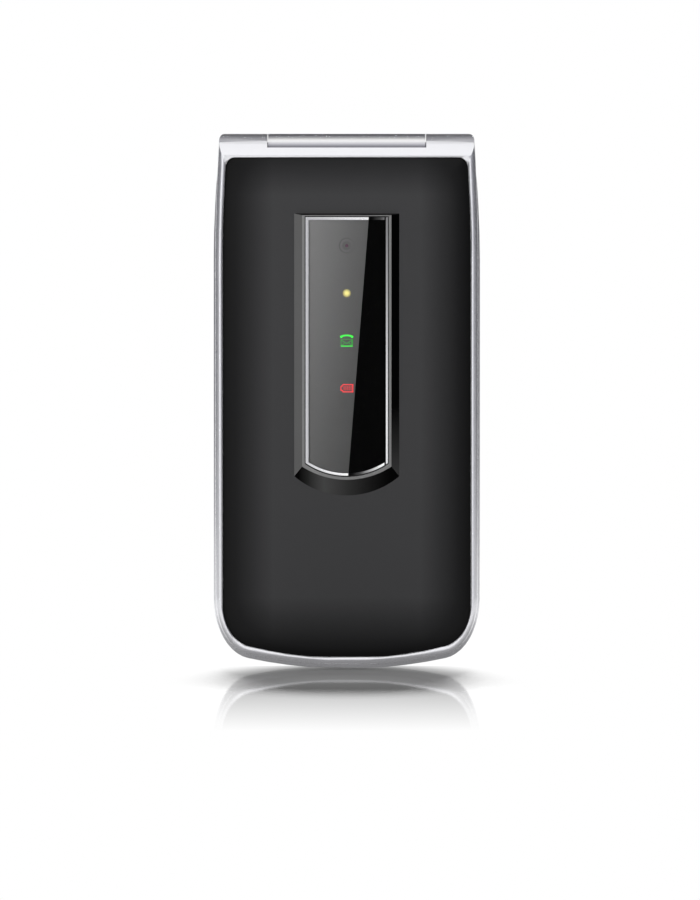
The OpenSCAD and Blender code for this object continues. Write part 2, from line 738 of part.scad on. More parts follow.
// Space that the open and the closed lid need, outside the barrel
module lid_sweep() {
    for (side = [-1, 1]) scale([side, 1, 1]) {
        intersection() {
            hinge_rod(sweep_r, barrel_end, far);
            block([-far, far], [-far, far], [axis_z - 1, far]);
        }
        hinge_rod(hinge_r + run_gap + 0.1, barrel_end, far);
        // Front of the open lid's knuckle, which dips behind the axis
        translate([barrel_end, axis_y, axis_z]) rotate([90, 0, 90]) linear_extrude(far)
            rotate(-open_angle) polygon(concat([[0, 0]], [for (a = [90:7.5:180])
                [(sweep_r - 0.05) * cos(a), (hinge_r + run_gap + 0.15) * sin(a)]]));
    }
    intersection() {
        hinge_rod(sweep_r, -knuckle_x, knuckle_x);
        block([-far, far], [-far, far], [axis_z - groove_drop, far]);
    }
}

module base_front_housing() color("silver") {
    difference() {
        union() {
            difference() {
                loft(base_shape, [[base_y, 0.9], [base_y + 0.2, 0.45], [base_y + 0.6, 0.12], [base_y + 1.2, 0],
                                  [board_y, 0]]);
                lid_sweep();
                outline_slab(face_shape, 0, -far, face_y);
                intersection() {
                    outline_slab(base_shape, wall, plate_y, far);
                    block([-far, far], [-far, far], [0, cavity_top - 1]);
                }
            }
            hinge_rod(hinge_r, -barrel_end, barrel_end);
            for (p = base_screws_at) rod_y(p[0], p[1], boss_r, plate_y - fit, board_y);
        }
        // Bores of the cartridge, the bush and the pin
        hinge_rod(cartridge_r, barrel_end - 0.35 - cartridge_l, barrel_end + 1);
        hinge_rod(cartridge_r, -barrel_end - 1, -barrel_end + 0.35 + bush_l);
        for (k = keys) slab(face_y - 1, plate_y + fit)
            plate(k[1], k[2], k[3] + 2 * key_gap, k[4] + 2 * key_gap, k[5] + key_gap);
        rod_y(0, mic_z, 0.5, -far, far);
        for (p = base_screws_at) rod_y(p[0], p[1], screw_r + fit, face_y + 0.4, far);
    }
}

module base_rear_housing() color([0.18, 0.18, 0.19]) {
    difference() {
        union() {
            difference() {
                loft(base_shape, [[board_y, 0], [back_y - 3.4, 0], [back_y - 1.9, 0.35], [back_y - 0.8, 1.1],
                                  [back_y - 0.3, 1.95], [back_y, 3]]);
                lid_sweep();
                hinge_rod(hinge_r + fit, -far, far);
                difference() {
                    intersection() {
                        outline_slab(base_shape, wall, board_y - 1, rear_in_y);
                        block([-far, far], [-far, far], [0, cavity_top]);
                    }
                    block([-bay_hw - bay_wall, bay_hw + bay_wall], [floor_y, far],
                          [bay_z - bay_wall, bay_top + bay_wall]);
                }
            }
            for (p = base_screws_at) rod_y(p[0], p[1], boss_r, board_back_y, rear_in_y + fit);
            // Ears of the volume rocker's pivot
            for (y = [rocker_y - rocker_w / 2 - 0.45, rocker_y + rocker_w / 2 + 0.15])
                block([rocker_x - 1, body_w / 2 - wall + fit], [y, y + 0.3], [rocker_z - 1.2, rocker_z + 1.2]);
        }
        rod_y(rocker_x, rocker_z, rocker_pin_r + turn_fit, board_back_y, rear_in_y - 0.1);
        block([-bay_hw, bay_hw], [bay_y, far], [bay_z, bay_top]);
        outline_slab(cover_shape, -cover_gap, cover_y, far);
        // Nail notch under the cover's lower edge
        rod_y(0, cover_in, 2.5, back_y - 0.4, far);
        for (p = tabs_at) brick(p[0], p[1], tab_w + 2 * cover_gap, tab_l + 2 * cover_gap, rear_in_y - 1, far);
        for (p = base_screws_at) {
            rod_y(p[0], p[1], screw_r + screw_fit, -far, far);
            rod_y(p[0], p[1], head_r + screw_fit, base_head_y, far);
        }
        // Loudspeaker's slots and the mesh's seat
        rod_y(speaker_x, speaker_z, speaker_r - 0.4, rear_in_y - 1, rear_in_y + 0.3);
        for (i = [-2:2]) brick(speaker_x, speaker_z + i * 1.9, 9 - abs(i) * 1.2, 0.9, rear_in_y, far);
        // Charging socket
        brick(-body_w / 2, usb_z, 2 * wall + 1, usb_w + 4 * fit, board_back_y, board_back_y + usb_t + 2 * fit);
        // Volume rocker's scoop and slot
        block([body_w / 2 - rocker_scoop, far], [rocker_y - rocker_w / 2 - 0.25, rocker_y + rocker_w / 2 + 0.5],
              [rocker_z - rocker_l / 2 - 1.5, rocker_z + rocker_l / 2 + 1.5]);
        block([body_w / 2 - wall - 1, far], [rocker_y - rocker_w / 2 - 0.12, rocker_y + rocker_w / 2 + 0.12],
              [rocker_z - rocker_l / 2 - 0.25, rocker_z + rocker_l / 2 + 0.25]);
    }
}

module keypad_mat() color("gray") {
    brick(0, (keypad_low + keypad_high) / 2, 2 * (screw_x - boss_r - 0.1), keypad_high - keypad_low,
          mat_y, mat_y + mat_t);
}

module dome_sheet() color("lightgray") {
    film_y = dome_y + dome_h;
    brick(0, (keypad_low + keypad_high) / 2, 2 * (screw_x - boss_r - 0.5), keypad_high - keypad_low - 2,
          film_y, film_y + film_t);
    for (k = keys) translate([k[1], film_y + 0.01, k[2]]) rotate([90, 0, 0])
        cylinder(h = dome_h, r1 = dome_r, r2 = dome_r * 0.6);
}

module main_board() color("green") {
    difference() {
        intersection() {
            outline_slab(base_shape, wall + 0.6, board_y, board_back_y);
            block([-far, far], [-far, far], [0, cavity_top - 1.6]);
        }
        for (p = base_screws_at) rod_y(p[0], p[1], screw_r + 2 * screw_fit, -far, far);
    }
}

module shield_can() color("silver") {
    block([-body_w / 2 + wall + 5.4, speaker_x - speaker_r - 3], [board_back_y, board_back_y + 2],
          [bay_top + bay_wall + 1, cavity_top - 2]);
}

module sim_holder() color("silver") {
    low = battery_top + contact_h + 1.4;
    difference() {
        block([-sim_w / 2, sim_w / 2], [bay_y, bay_y + sim_t], [low, bay_top - 1]);
        block([-sim_w / 2 + 1, sim_w / 2 - 1], [bay_y + 0.3, bay_y + sim_t - 0.3], [low - 1, bay_top - 3]);
    }
}

module battery_contacts() color("gold") {
    block([-contact_w / 2, contact_w / 2], [bay_y, bay_y + 2.4], [battery_top + 0.2, battery_top + contact_h]);
}

module battery() color([0.25, 0.27, 0.3]) {
    block([-battery_w / 2, battery_w / 2], [bay_y, cover_y - 0.15],
          [bay_z + battery_gap, battery_top]);
}

module loudspeaker() color("dimgray") {
    rod_y(speaker_x, speaker_z, speaker_r, rear_in_y - 3.4, rear_in_y - fit);
}

module speaker_mesh() color("black") {
    rod_y(speaker_x, speaker_z, speaker_r - 0.45, rear_in_y + fit, rear_in_y + 0.25);
}

module vibration_motor() color("silver") {
    rod_x(board_back_y + 0.2 + motor_r, bay_z - bay_wall - motor_r - 1.2, motor_r, motor_x, motor_x + motor_l);
}

module microphone() color("silver") {
    rod_y(0, mic_z, mic_r, flange_y, board_y - fit);
}

module usb_socket() color("silver") {
    out = -body_w / 2 + 0.6;
    difference() {
        brick(out + usb_l / 2, usb_z, usb_l, usb_w, board_back_y, board_back_y + usb_t);
        brick(out, usb_z, 2 * usb_l - 2, usb_w - 0.8, board_back_y + 0.4, board_back_y + usb_t - 0.4);
    }
    brick(out + usb_l / 2 - 0.8, usb_z, usb_l - 1.6, usb_w - 3.5,
          board_back_y + usb_t / 2 - 0.25, board_back_y + usb_t / 2 + 0.25);
}

module antenna() color("goldenrod") {
    block([motor_x - 3 - antenna_l, motor_x - 3], [board_back_y + 0.2, board_back_y + 3],
          [wall + chin_room, bay_z - bay_wall - 0.4]);
}

module hinge_module() color("gray") {
    low = barrel_end - 0.35 - cartridge_l;
    difference() {
        hinge_rod(cartridge_r - fit / 2, low + fit, low + cartridge_l);
        hinge_rod(shaft_r + turn_fit, low + 4, far);
    }
}

module hinge_bush() color("darkgoldenrod") {
    difference() {
        hinge_rod(cartridge_r - fit / 2, -barrel_end + 0.35, -barrel_end + 0.35 + bush_l - fit);
        hinge_rod(pin_r + turn_fit, -far, far);
    }
}

module base_screws() color("gray") {
    for (p = base_screws_at) screw(p, base_head_y, face_y + 0.5);
}

module battery_cover() color([0.13, 0.13, 0.14]) {
    loft(cover_shape, [[cover_y, 0], [back_y - 0.5, 0], [back_y - 0.3, 0.25], [back_y, 1.3]]);
    for (p = tabs_at) brick(p[0], p[1], tab_w, tab_l, cover_y - 1.3, cover_y + fit);
}

module volume_rocker() color("dimgray") {
    out = body_w / 2 - 0.1;
    across = [rocker_y - rocker_w / 2, rocker_y + rocker_w / 2];
    block([rocker_x - rocker_pin_r, out], across, [rocker_z - rocker_l / 2, rocker_z + rocker_l / 2]);
    block([rocker_x - rocker_pin_r - 0.5, rocker_x - rocker_pin_r + 0.1], across,
          [rocker_z - rocker_l / 2 - 0.8, rocker_z + rocker_l / 2 + 0.8]);
    rod_y(rocker_x, rocker_z, rocker_pin_r, across[0] - 0.4, across[1] + 0.4);
}

module key(name) color([0.22, 0.22, 0.24]) {
    k = keys[search([name], keys)[0]];
    slab(face_y - key_proud, flange_y + fit) plate(k[1], k[2], k[3], k[4], k[5]);
    slab(flange_y, flange_y + flange_t)
        plate(k[1], k[2], k[3] + 2 * flange_w, k[4] + 2 * flange_w, k[5] + flange_w);
}

lid_frame();
outer_cover();
window_trim();
window_lens();
camera_module();
flash_led();
call_light_guide();
battery_light_guide();
indicator_board();
lid_inner_housing();
display_module();
display_lens();
earpiece_speaker();
lid_screws();
lid_bumpers();
lid_magnet();
hinge_shaft();
hinge_pin();
display_flex();
base_front_housing();
base_rear_housing();
keypad_mat();
dome_sheet();
main_board();
shield_can();
sim_holder();
battery_contacts();
battery();
loudspeaker();
speaker_mesh();
vibration_motor();
microphone();
usb_socket();
antenna();
hinge_module();
hinge_bush();
base_screws();
battery_cover();
volume_rocker();
for (k = keys) key(k[0]);
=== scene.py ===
# %% [markdown]
# # A clamshell mobile phone, closed and standing on its chin
#
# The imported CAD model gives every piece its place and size. This lesson adds what the eye sees: smooth
# lacquered shells, a crowned satin cover with its framed window, moulded keys with printed numbers, a
# screen, and a white studio. Every length is in metres, and X runs across, Y from front to back, Z up.

# %% Load the CAD frame
import json
from math import asin, atan, cos, pi, radians, sin

import bmesh
import bpy
from mathutils import Matrix, Vector


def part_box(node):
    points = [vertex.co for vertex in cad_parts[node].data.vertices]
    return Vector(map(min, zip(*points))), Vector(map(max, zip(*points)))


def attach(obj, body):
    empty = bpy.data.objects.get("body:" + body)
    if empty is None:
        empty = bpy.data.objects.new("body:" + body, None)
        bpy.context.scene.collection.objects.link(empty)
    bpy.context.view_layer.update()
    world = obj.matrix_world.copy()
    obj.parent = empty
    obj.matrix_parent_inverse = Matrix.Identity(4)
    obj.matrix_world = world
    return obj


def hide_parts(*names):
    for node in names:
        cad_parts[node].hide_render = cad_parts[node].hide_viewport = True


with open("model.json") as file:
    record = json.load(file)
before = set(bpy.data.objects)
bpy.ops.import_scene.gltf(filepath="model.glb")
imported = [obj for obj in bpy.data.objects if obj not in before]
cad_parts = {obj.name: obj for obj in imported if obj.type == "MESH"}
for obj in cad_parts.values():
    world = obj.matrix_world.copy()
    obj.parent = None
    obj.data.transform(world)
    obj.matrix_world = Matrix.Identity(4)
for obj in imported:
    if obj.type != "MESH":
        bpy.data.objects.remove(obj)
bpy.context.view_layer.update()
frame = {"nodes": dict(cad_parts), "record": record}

MM = 0.001
nodes = frame["nodes"]

# %% [markdown]
# ## Small helpers for finishes
#
# A finish is a node graph. Colours are written as the hex values that a screen shows, so one function turns
# them into the linear values that the renderer adds and multiplies. Another adds any node with its settings
# and links, which keeps each material short enough to read. A pattern's scale is worked out from the real
# size of one grain or stripe in millimetres, because a texture's scale counts features per metre here.

# %% Colour, node and scale helpers


def linear(code):
    """Linear RGBA from an sRGB hex value such as '#c8c8cd'."""
    parts = [int(code[i:i + 2], 16) / 255 for i in (1, 3, 5)]
    return [c / 12.92 if c <= 0.04045 else ((c + 0.055) / 1.055) ** 2.4 for c in parts] + [1]


def add(tree, kind, settings=(), inputs=(), links=()):
    """Add one node: its settings, its inputs' plain values, and what its inputs are linked to."""
    made = tree.nodes.new(kind)
    for name, value in dict(settings).items():
        setattr(made, name, value)
    for name, value in dict(inputs).items():
        made.inputs[name].default_value = value
    for name, source in dict(links).items():
        tree.links.new(source, made.inputs[name])
    return made


def per_mm(size):
    """Texture scale at which one feature measures size millimetres."""
    return 1 / (size * MM)


print("one grain of 0.2 mm is scale", per_mm(0.2))

# %% [markdown]
# ## Starting a finish
#
# Nearly every finish here is one Principled shader, because it covers metal, lacquer, plastic and thin glass.
# A colour ramp gives it colours that change over a distance. Both take hex colours, and a finish takes any
# more of the shader's inputs by name.

# %% Ramp and finish helpers


def ramp(tree, factor, stops):
    """Set a colour ramp's stops, each a position with a hex colour, on a node that reads factor."""
    made = add(tree, "ShaderNodeValToRGB", links={"Fac": factor})
    bar = made.color_ramp
    while len(bar.elements) < len(stops):
        bar.elements.new(0.5)
    for element, (place, code) in zip(bar.elements, stops):
        element.position, element.color = place, linear(code)
    return made.outputs["Color"]


def finish(name, colour, roughness, **sockets):
    """A Principled material; sockets are more of its inputs, with spaces as underscores."""
    made = bpy.data.materials.new(name)
    made.use_nodes = True
    tree = made.node_tree
    shader = tree.nodes["Principled BSDF"]
    shader.inputs["Base Color"].default_value = linear(colour)
    shader.inputs["Roughness"].default_value = roughness
    for socket, value in sockets.items():
        shader.inputs[socket.replace("_", " ")].default_value = value
    made.diffuse_color = linear(colour)
    return made, tree, shader


print("white paint is", [round(c, 2) for c in linear("#f4f4f4")])

# %% [markdown]
# ## Grain and change
#
# Real surfaces are never quite even. One helper adds the fine bumps that a mould or a spray leaves, and gives
# back the same noise, so that a second helper can run the colour or the gloss with it. A third gives a plain
# 0 to 1 along one axis, for finishes that change with height or width.

# %% Grain and change helpers


def grain(tree, shader, size, depth, stretch=(1, 1, 1)):
    """Fine bumps of size and depth in millimetres, as the mould or the lacquer leaves them."""
    place = add(tree, "ShaderNodeTexCoord").outputs["Object"]
    turned = add(tree, "ShaderNodeMapping", inputs={"Scale": stretch}, links={"Vector": place})
    noise = add(tree, "ShaderNodeTexNoise", inputs={"Scale": per_mm(size), "Detail": 2},
                links={"Vector": turned.outputs["Vector"]})
    bump = add(tree, "ShaderNodeBump", inputs={"Strength": 0.6, "Distance": depth * MM},
               links={"Height": noise.outputs["Fac"]})
    tree.links.new(bump.outputs["Normal"], shader.inputs["Normal"])
    return noise.outputs["Fac"]


def vary(tree, shader, factor, low, high, socket="Base Color"):
    """Run a socket from one hex colour to another, or one number to another, with a factor."""
    if socket == "Base Color":
        out = ramp(tree, factor, [(0.3, low), (0.7, high)])
    else:
        out = add(tree, "ShaderNodeMapRange", inputs={"To Min": low, "To Max": high},
                  links={"Value": factor}).outputs["Result"]
    tree.links.new(out, shader.inputs[socket])


def axis_value(tree, axis, low, high):
    """0 to 1 along an Object axis between two places in millimetres."""
    place = add(tree, "ShaderNodeTexCoord").outputs["Object"]
    split = add(tree, "ShaderNodeSeparateXYZ", links={"Vector": place})
    return add(tree, "ShaderNodeMapRange", inputs={"From Min": low * MM, "From Max": high * MM},
               links={"Value": split.outputs[axis]}).outputs["Result"]


print("helpers ready: grain, vary, axis_value")

# %% [markdown]
# ## Silver lacquer
#
# The frame and the keypad shell are moulded ABS with a sprayed silver lacquer. The flakes in it lie nearly
# flat, so it is part metal and part paint: bright where it faces the room, dark where it turns away. A coat
# gives the thin clear layer its own sharper gloss. The real flakes are about 0.03 mm, too fine to show, so
# they are drawn at 0.12 mm.

# %% Silver lacquer
silver, tree, shader = finish("silver_lacquer_on_abs", "#e4e4e8", 0.24, Metallic=0.85,
                              Coat_Weight=0.25, Coat_Roughness=0.1)
flakes = grain(tree, shader, 0.12, 0.00006)
vary(tree, shader, flakes, "#e0e0e5", "#e9e9ec")
vary(tree, shader, flakes, 0.22, 0.27, "Roughness")
print("silver lacquer:", len(tree.nodes), "nodes")

# %% [markdown]
# ## Lacquer on the hinge barrel
#
# The barrel is part of the keypad shell and has the same lacquer. A round shiny bar reflects the room in
# bands: in the photograph it is dark low down, bright above that, and dark again on the very top. The plain
# room here doesn't give those bands in the same places, so a colour ramp over the height paints them in as a
# painted reflection. They are fixed to the barrel, and don't slide with the view as real reflections would.

# %% Barrel lacquer
BARREL_LOW, BARREL_TOP = 103.4, 107.4
barrel, tree, shader = finish("silver_lacquer_painted_reflection_bands", "#e4e4e8", 0.24, Metallic=0.85,
                              Coat_Weight=0.25, Coat_Roughness=0.1)
vary(tree, shader, grain(tree, shader, 0.12, 0.00006), 0.22, 0.27, "Roughness")
# Painted reflection: dark, bright and dark bands over the barrel's height
shade = ramp(tree, axis_value(tree, "Z", BARREL_LOW, BARREL_TOP), [
    (0, "#e2e2e6"), (0.16, "#7a7a82"), (0.25, "#606068"), (0.34, "#7a7a82"), (0.48, "#bebec4"),
    (0.6, "#e8e8ea"), (0.7, "#f4f4f4"), (0.85, "#d8d8dc"), (1, "#70707a")])
tree.links.new(shade, shader.inputs["Base Color"])
print("barrel lacquer from", BARREL_LOW, "to", BARREL_TOP, "mm")

# %% [markdown]
# ## Satin black cover
#
# The outer cover is black ABS under a satin soft-touch lacquer. In the photograph it goes from charcoal in
# the middle to near black at its crowned rim, as the edge turns from the light. The light here is more even,
# so a painted shade, a fade in the colour towards the rim, adds to that. It follows the cover's own outline:
# a point's distance inside each side gives a factor, and the smaller height factor times the width factor is
# the fade. The soft-touch grain is a noise bump at 0.15 mm, under a micron deep.

# %% Satin black cover
PANEL_HALF, PANEL_LOW, PANEL_HIGH = 24.8, 2.6, 102.5
FULL_X, FULL_LOW, FULL_HIGH = 14.8, 14.6, 95
satin, tree, shader = finish("satin_black_lacquer_painted_edge_shade", "#303032", 0.4, Specular_IOR_Level=0.12)
place = add(tree, "ShaderNodeTexCoord").outputs["Object"]
split = add(tree, "ShaderNodeSeparateXYZ", links={"Vector": place})
side = add(tree, "ShaderNodeMath", {"operation": "ABSOLUTE"}, links={0: split.outputs["X"]})
inside = add(tree, "ShaderNodeMapRange", inputs={"From Min": PANEL_HALF * MM, "From Max": FULL_X * MM},
             links={"Value": side.outputs[0]})
above = add(tree, "ShaderNodeMapRange", inputs={"From Min": PANEL_LOW * MM, "From Max": FULL_LOW * MM},
            links={"Value": split.outputs["Z"]})
below = add(tree, "ShaderNodeMapRange",
            inputs={"From Min": PANEL_HIGH * MM, "From Max": FULL_HIGH * MM, "To Min": 0.35},
            links={"Value": split.outputs["Z"]})
low = add(tree, "ShaderNodeMath", {"operation": "MINIMUM"},
          links={0: above.outputs["Result"], 1: below.outputs["Result"]})
edge = add(tree, "ShaderNodeMath", {"operation": "MULTIPLY"},
           links={0: low.outputs[0], 1: inside.outputs["Result"]})
# Painted edge shade: charcoal in the middle to near black at the rim
shade = ramp(tree, edge.outputs[0], [(0, "#030303"), (0.25, "#121213"), (0.6, "#282829"), (1, "#39393a")])
tree.links.new(shade, shader.inputs["Base Color"])
noise = add(tree, "ShaderNodeTexNoise", inputs={"Scale": per_mm(0.15), "Detail": 2}, links={"Vector": place})
bump = add(tree, "ShaderNodeBump", inputs={"Strength": 0.5, "Distance": 0.0008 * MM},
           links={"Height": noise.outputs["Fac"]})
tree.links.new(bump.outputs["Normal"], shader.inputs["Normal"])
print("satin fade reaches", PANEL_HALF - FULL_X, "mm in from the sides")

# %% [markdown]
# ## Plastics and rubbers
#
# Moulded plastic takes its surface from the tool: a spark-eroded mould leaves a fine grain, a polished one a
# gloss. Its IOR is near 1.5, the shader's default. Silicone rubber is softer, and so duller. Each finish
# starts from typical values, and a noise at the grain's real size breaks up its colour or its gloss.

# %% Plastics and rubbers
# Spark-eroded ABS: a dull black with broad, soft highlights
black, tree, shader = finish("textured_black_abs", "#1b1b1d", 0.5)
vary(tree, shader, grain(tree, shader, 0.18, 0.004), "#18181a", "#222225")

# Polished ABS: sharp highlights that waver a little
gloss, tree, shader = finish("polished_black_abs", "#0b0b0c", 0.16, Specular_IOR_Level=0.4)
vary(tree, shader, grain(tree, shader, 0.5, 0.0003), 0.12, 0.2, "Roughness")

# Black silicone: no clear highlight at all
rubber, tree, shader = finish("silicone_rubber_black", "#161617", 0.75)
vary(tree, shader, grain(tree, shader, 0.1, 0.003), 0.68, 0.82, "Roughness")

# Grey silicone of the keypad mat: milky and even
mat_rubber, tree, shader = finish("silicone_rubber_grey", "#8b8b8e", 0.7)
vary(tree, shader, grain(tree, shader, 0.1, 0.003), "#828285", "#939396")
print("plastics and rubbers: 4")

# %% [markdown]
# ## Metals
#
# A metal reflects all it sees in its own colour, so Metallic is 1, or less where the plating is dull. Chrome
# is plated on polished plastic, steel is brushed, and gold contacts are plated smooth. Brushing is the same
# noise as elsewhere, stretched twenty times along one axis, which is simpler than an anisotropic shader.

# %% Metals
# Chrome: a nearly clear mirror with faint waves
chrome, tree, shader = finish("chromed_trim", "#d4d4d8", 0.14, Metallic=1)
vary(tree, shader, grain(tree, shader, 0.4, 0.0003), 0.1, 0.2, "Roughness")

# Brushed steel: fine streaks across, a satin shine
steel, tree, shader = finish("brushed_stainless_steel", "#a9a9ad", 0.34, Metallic=1)
vary(tree, shader, grain(tree, shader, 0.08, 0.001, stretch=(0.05, 1, 1)), "#9d9da1", "#b6b6ba")

# Plated display frame: a dark grey metal sheen
panel_metal, tree, shader = finish("display_panel_frame", "#4b4c50", 0.4, Metallic=0.7)
vary(tree, shader, grain(tree, shader, 0.2, 0.001), "#434448", "#53545a")

# Gold plate: warm and bright, with a slightly uneven gloss
gold, tree, shader = finish("gold_plated_contact", "#d8ac4e", 0.22, Metallic=1)
vary(tree, shader, grain(tree, shader, 0.2, 0.0005), 0.18, 0.28, "Roughness")
print("metals: 4")

# %% [markdown]
# ## Board, films and battery wrap
#
# These lie inside, and show only when a cover is off. Each is a thin coloured layer over something else:
# solder mask over copper, film over domes or conductors, printed wrap over the battery. A coarse, weak
# change of colour is what such layers show.

# %% Board, films and wrap
# Solder mask: green, with darker patches where copper lies under it
board, tree, shader = finish("solder_masked_circuit_board", "#12512c", 0.4)
vary(tree, shader, grain(tree, shader, 0.9, 0.01), "#0f4524", "#176236")

# Polyimide: translucent amber in life, drawn here as its colour over the board
film, tree, shader = finish("polyimide_film", "#b5641c", 0.35)
vary(tree, shader, grain(tree, shader, 0.3, 0.001), "#a65a17", "#c26e22")

# Polyester dome sheet: pale and a little cloudy
domes, tree, shader = finish("polyester_dome_film", "#c6c6c4", 0.5)
vary(tree, shader, grain(tree, shader, 0.3, 0.001), "#bebebc", "#cdcdcb")

# Battery wrap: a smooth slate film
cell, tree, shader = finish("battery_wrap_film", "#3a3d42", 0.38)
vary(tree, shader, grain(tree, shader, 0.6, 0.002), "#35383d", "#41444a")
print("materials so far:", len(bpy.data.materials))

# %% [markdown]
# ## Window and screen covers
#
# The window is hard tinted acrylic. Real glass in a path tracer needs many bounces, so it is drawn as a thin
# see-through sheet instead: alpha sets how much of the mask behind it, with its painted reflection, shows.
# The screen's cover is opaque here, because a switched-off display is dark: its print is black, and the
# display area inside it is a very dark blue-grey. That border is the larger of two distances, one across and
# one up.

# %% Window and screen covers
tint, tree, shader = finish("tinted_acrylic_window", "#050506", 0.03, Alpha=0.15, IOR=1.5,
                            Specular_IOR_Level=0.4)
vary(tree, shader, grain(tree, shader, 2.0, 0.0001), 0.02, 0.05, "Roughness")

screen, tree, shader = finish("hard_coated_screen_cover", "#0a0a0b", 0.05, Coat_Weight=0.5)
place = add(tree, "ShaderNodeTexCoord").outputs["Object"]
centred = add(tree, "ShaderNodeVectorMath", {"operation": "SUBTRACT"}, {1: (0, 0, 60.1 * MM)}, {0: place})
apart = add(tree, "ShaderNodeVectorMath", {"operation": "ABSOLUTE"}, links={0: centred.outputs["Vector"]})
split = add(tree, "ShaderNodeSeparateXYZ", links={"Vector": apart.outputs["Vector"]})
sides = [add(tree, "ShaderNodeMapRange", inputs={"From Min": edge * MM, "From Max": (edge + 0.1) * MM},
             links={"Value": split.outputs[axis]}).outputs["Result"]
         for axis, edge in (("X", 18.6), ("Z", 26.4))]
border = add(tree, "ShaderNodeMath", {"operation": "MAXIMUM"}, links={0: sides[0], 1: sides[1]})
shade = ramp(tree, border.outputs[0], [(0, "#20242a"), (1, "#050506")])
tree.links.new(shade, shader.inputs["Base Color"])
print("window and screen covers: 2")

# %% [markdown]
# ## Lamp
#
# The flash is a frosted dome over a warm white diode: bright in the middle where the diode lies, and darker
# at its rim, partly the diode's own falloff and partly painted shade of the dome. One ramp over the distance
# from its axis gives both the colour and the glow.

# %% Lamp
LAMP_Z, LAMP_R = 75.4, 0.9
lamp, tree, shader = finish("frosted_flash_lamp_painted_rim_shade", "#f2ecae", 0.4, Emission_Strength=0.9)
place = add(tree, "ShaderNodeTexCoord").outputs["Object"]
split = add(tree, "ShaderNodeSeparateXYZ", links={"Vector": place})
flat = add(tree, "ShaderNodeCombineXYZ", links={"X": split.outputs["X"], "Z": split.outputs["Z"]})
reach = add(tree, "ShaderNodeVectorMath", {"operation": "DISTANCE"}, {1: (0, 0, LAMP_Z * MM)},
            {0: flat.outputs[0]})
spread = add(tree, "ShaderNodeMapRange", inputs={"From Max": LAMP_R * MM},
             links={"Value": reach.outputs["Value"]})
# Glow and painted shade: bright over the diode, darker towards the rim
shade = ramp(tree, spread.outputs["Result"], [(0, "#ece48e"), (0.45, "#dcd283"), (0.75, "#a49c6a"),
                                              (1, "#56543c")])
tree.links.new(shade, shader.inputs["Base Color"])
tree.links.new(shade, shader.inputs["Emission Color"])
print("lamp radius", LAMP_R, "mm")

# %% [markdown]
# ## Light guides
#
# A light guide is clear coloured plastic with a small lamp behind it, so it glows evenly in its own
# colour. Two strengths of each colour let a sign have lit lines and fainter ones inside them.

# %% Light guides


def glowing(name, colour, strength):
    """A light guide's finish: a clear coloured plastic that lets its lamp's light out."""
    made, tree, shader = finish(name, colour, 0.3, Emission_Strength=strength)
    shader.inputs["Emission Color"].default_value = linear(colour)
    vary(tree, shader, grain(tree, shader, 0.3, 0.001), 0.25, 0.35, "Roughness")
    return made


green = glowing("lit_green_light_guide", "#46ea52", 0.9)
dim_green = glowing("dim_green_light_guide", "#3fa048", 0.85)
red = glowing("lit_red_light_guide", "#e64a4e", 0.9)
dim_red = glowing("dim_red_light_guide", "#d04a50", 0.8)
print("materials so far:", len(bpy.data.materials))

# %% [markdown]
# ## Window mask
#
# In the photograph the window is split by a slanting line: grey on the left, where it reflects something
# pale, and black on the right. Here the split is a painted reflection on a mask under the glass, so it
# looks the same from every side, where a real reflection would move. The grey fades from top to bottom and
# towards the line, which runs from the window's top edge to its foot, so its place across is a straight
# function of the height.

# %% Window mask finish
SPLIT_TOP, SPLIT_FOOT = (4.4, 90.5), (0.3, 39.0)


def split_distance(tree):
    """How far right of the slanting line a point lies, in metres."""
    place = add(tree, "ShaderNodeTexCoord").outputs["Object"]
    split = add(tree, "ShaderNodeSeparateXYZ", links={"Vector": place})
    line = add(tree, "ShaderNodeMapRange", {"clamp": False},
               {"From Min": SPLIT_FOOT[1] * MM, "From Max": SPLIT_TOP[1] * MM,
                "To Min": SPLIT_FOOT[0] * MM, "To Max": SPLIT_TOP[0] * MM}, {"Value": split.outputs["Z"]})
    away = add(tree, "ShaderNodeMath", {"operation": "SUBTRACT"},
               links={0: split.outputs["X"], 1: line.outputs["Result"]})
    return away.outputs[0]


mask, tree, shader = finish("window_mask_painted_reflection", "#808080", 0.35, Specular_IOR_Level=0.05)
away = split_distance(tree)
# Painted reflection: fading grey left of the slanting line, black right of it
dark_side = add(tree, "ShaderNodeMapRange", inputs={"From Min": 0, "From Max": 0.03 * MM},
                links={"Value": away})
across = axis_value(tree, "X", -8, 4)
upper = ramp(tree, across, [(0, "#a5a5a5"), (1, "#787878")])
lower = ramp(tree, across, [(0, "#828282"), (0.75, "#656565")])
grey = add(tree, "ShaderNodeMix", {"data_type": "RGBA"},
           links={0: axis_value(tree, "Z", 38, 90), 6: lower, 7: upper})
painted_split = add(tree, "ShaderNodeMix", {"data_type": "RGBA"}, {7: linear("#000000")},
              {0: dark_side.outputs["Result"], 6: grey.outputs[2]})
tree.links.new(painted_split.outputs[2], shader.inputs["Base Color"])
print("slanting line from", SPLIT_TOP, "to", SPLIT_FOOT)
